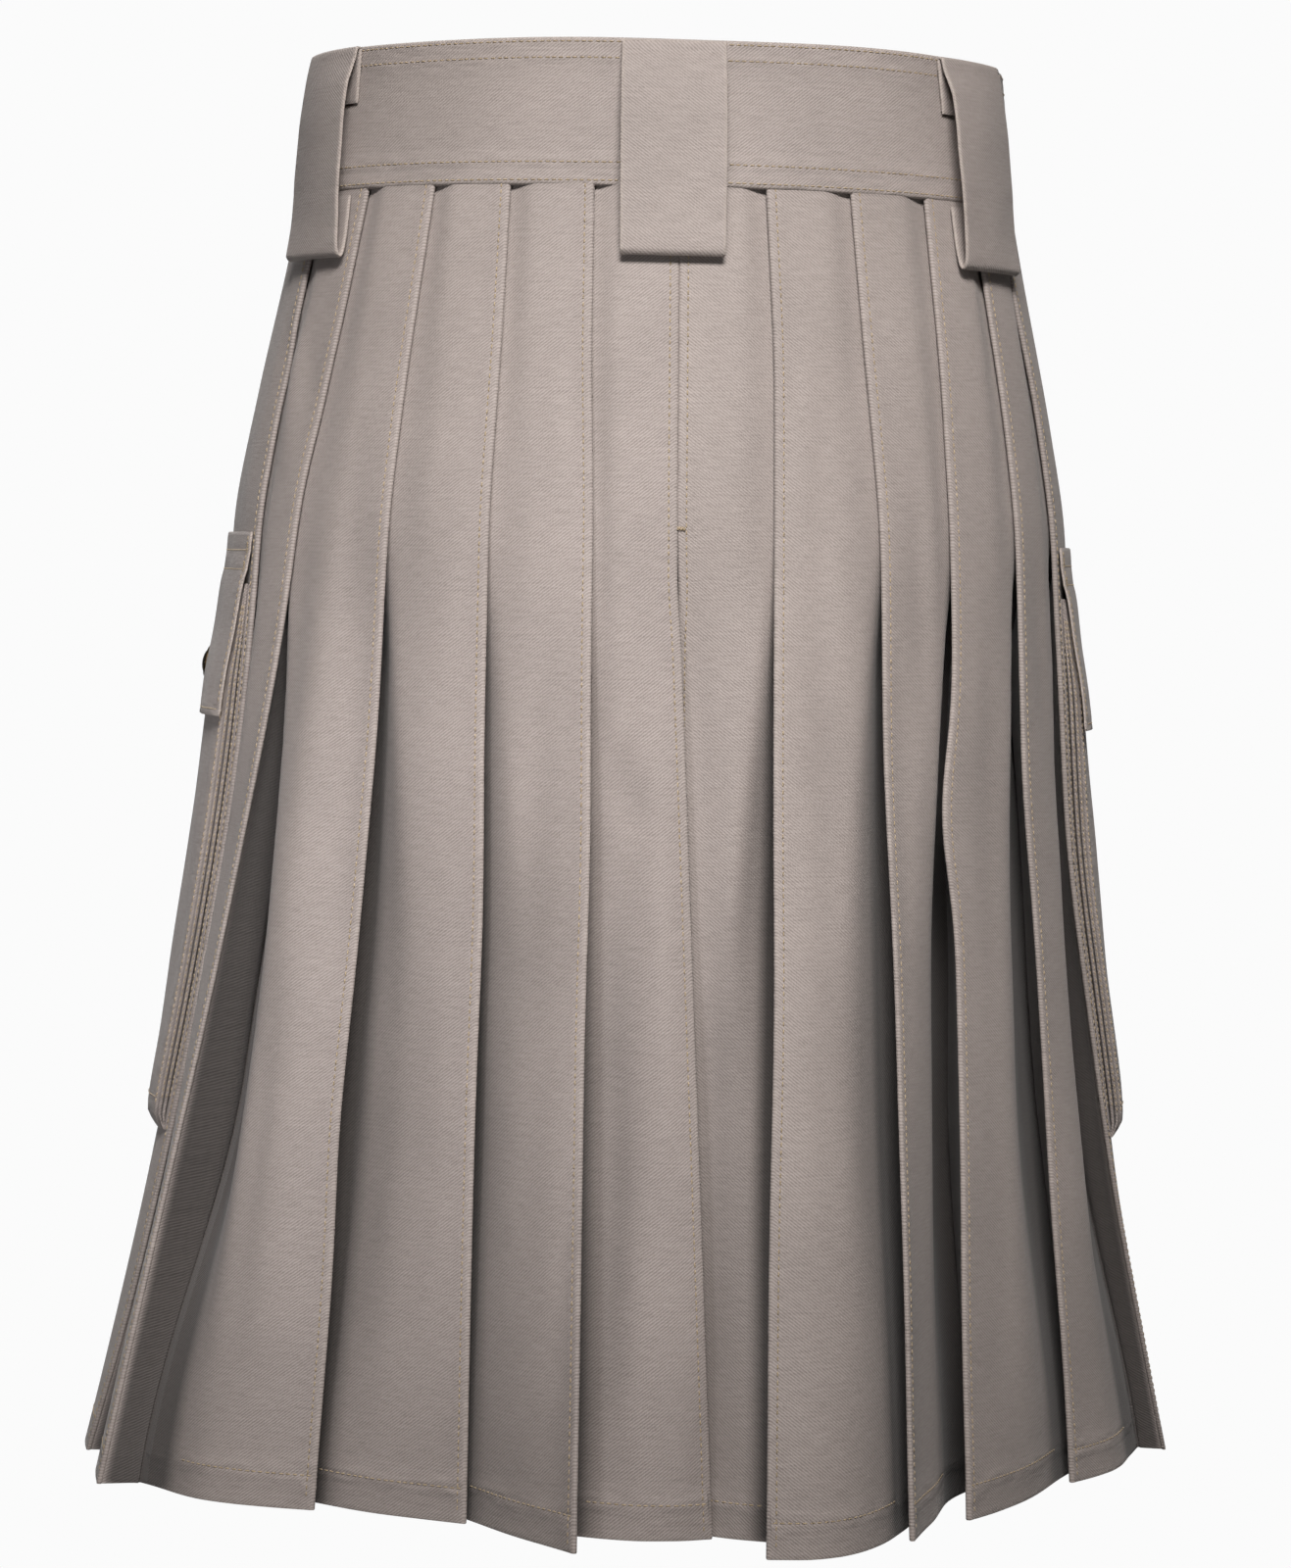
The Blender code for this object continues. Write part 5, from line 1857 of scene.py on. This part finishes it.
LEFT_CREASES = (
    Crease(6.5, -325.0, 150.0, 5.0, 1.3, 0.0, 0.8),
    Crease(17.0, -273.0, 26.0, 7.0, -1.7, 8.0, 4.0),
    Crease(26.0, -430.0, 190.0, 9.0, -4.2, -3.0, 0.0),
    Crease(52.0, -330.0, 170.0, 9.0, -1.5, -2.0, 2.5),
    Crease(44.0, -130.0, 70.0, 6.0, 0.7, 5.0, 1.0),
    Crease(95.0, -400.0, 150.0, 11.0, -1.9, 2.0, 3.0),
    Crease(88.0, -210.0, 80.0, 7.0, 0.8, -4.0, 1.5),
    Crease(147.0, -350.0, 210.0, 15.0, 5.0, 1.0, -2.0),
    Crease(132.0, -190.0, 90.0, 8.0, -0.9, 4.0, 2.0),
    Crease(150.0, -440.0, 120.0, 7.0, -1.6, -3.0, 2.0),
    Crease(190.0, -118.0, 42.0, 8.0, 2.0, 14.0, 3.0),
    Crease(201.0, -108.0, 36.0, 6.0, -1.4, 16.0, 2.0),
    Crease(300.0, -420.0, 150.0, 18.0, 3.0, 3.0, 4.0),
    Crease(265.0, -150.0, 60.0, 12.0, 1.0, 6.0, 2.0),
)
RIGHT_CREASES = (
    Crease(-14.0, -300.0, 140.0, 6.0, -1.3, 2.0, -2.0),
    Crease(-27.0, -450.0, 190.0, 13.0, -5.0, -1.0, 1.0),
    Crease(-62.0, -300.0, 170.0, 9.0, -1.5, 1.0, -2.5),
    Crease(-55.0, -150.0, 80.0, 6.0, 0.7, -4.0, 1.0),
    Crease(-104.0, -350.0, 150.0, 8.0, 1.3, -3.0, 2.0),
    Crease(-108.0, -200.0, 70.0, 6.0, -0.8, 3.0, 1.0),
    Crease(-146.0, -300.0, 150.0, 8.0, -1.4, -2.0, 2.0),
    Crease(-150.0, -470.0, 100.0, 8.0, 1.8, 2.0, -1.0),
    Crease(-186.0, -220.0, 90.0, 8.0, -0.9, 6.0, 2.0),
    Crease(-300.0, -430.0, 140.0, 18.0, 3.0, -3.0, 4.0),
    Crease(-262.0, -140.0, 60.0, 11.0, 1.0, -5.0, 2.0),
)
FRONT_CREASES = (
    Crease(190.0, -400.0, 200.0, 46.0, 4.5, 4.0, 10.0),
    Crease(420.0, -430.0, 180.0, 55.0, -3.5, -3.0, 12.0),
    Crease(600.0, -380.0, 230.0, 50.0, 4.0, 2.0, -14.0),
    Crease(820.0, -440.0, 160.0, 45.0, -3.0, 4.0, 10.0),
    Crease(300.0, -130.0, 80.0, 40.0, 1.1, 20.0, 6.0),
    Crease(720.0, -120.0, 70.0, 36.0, 1.0, -22.0, 6.0),
    Crease(500.0, -90.0, 40.0, 60.0, -0.8, 40.0, 0.0),
)
LEFT_KINKS = (
    Kink(2, -330.0, 60.0, 1.6),
    Kink(3, -250.0, 50.0, 1.5),
    Kink(3, -420.0, 45.0, -1.4),
    Kink(1, -300.0, 55.0, 1.0),
    Kink(0, -194.0, 17.0, -0.8),
)
LEFT_GAPES = (9.0, 5.0, 10.0, 13.0, 22.0, 12.0)
LEFT_SPREADS = (0.0, 0.0, 0.0, 0.15, 0.05, 0.0)
RIGHT_GAPES = (9.0, 15.0, 14.0, 17.0, 13.0, 10.0)
RIGHT_KINKS = (
    Kink(3, -285.0, 36.0, 6.5),
    Kink(4, -275.0, 48.0, 4.0),
    Kink(2, -260.0, 60.0, 1.6),
    Kink(1, -350.0, 70.0, -1.2),
    Kink(0, -196.0, 16.0, -0.7),
)


def main() -> None:
    """Builds the kilt piece by piece, then the studio."""
    twill = CottonTwill().material()
    thread = SewingThread().material()
    brass = AntiqueBrass().material()
    body = BodyForm()
    skirt = Skirt(body)
    left = PleatedHalf(skirt, Side.LEFT, LEFT_PLEATS, LEFT_CENTRE, LEFT_CREASES, LEFT_KINKS, LEFT_GAPES, LEFT_SPREADS)
    right = PleatedHalf(
        skirt, Side.RIGHT, RIGHT_PLEATS, RIGHT_CENTRE, RIGHT_CREASES, RIGHT_KINKS, RIGHT_GAPES
    )
    seam_share = 0.5 / 200.0
    made: list[bpy.types.Object] = []
    made += left.build(twill, thread)
    made += right.build(twill, thread)
    band = Waistband(body)
    aprons = (
        Apron("over_apron", skirt, seam_share, 1.0, 2.8, 0.06, FRONT_CREASES, 110, free_edge=True),
        Apron("under_apron", skirt, 0.10, 1.0 - seam_share, 0.0, 0.0, FRONT_CREASES, 90),
    )
    for apron in aprons:
        made += apron.build(twill, thread)
    made += band.build(twill, thread)
    loops = (
        BeltLoop("center", body, 0.0, 0.0, 9.2, 9.2),
        BeltLoop("left", body, 161.0, 6.0, 10.5, 7.0, -1.5),
        BeltLoop("right", body, -139.0, -11.0, 12.0, 6.8, 2.0),
    )
    for loop in loops:
        made += loop.build(twill)
    for half in (left, right):
        made += Pocket(half).build(twill, thread)
    for node in ("snap_pocket_left", "snap_pocket_right", "snap_waist_1", "snap_waist_2"):
        made += SnapCap(node).build(brass)
    for piece in made:
        log.info("%s: %d faces", piece.name, len(piece.data.polygons))
    Studio().build()


if __name__ == "__main__":
    logging.basicConfig(level=logging.INFO, format="%(message)s")
    main()
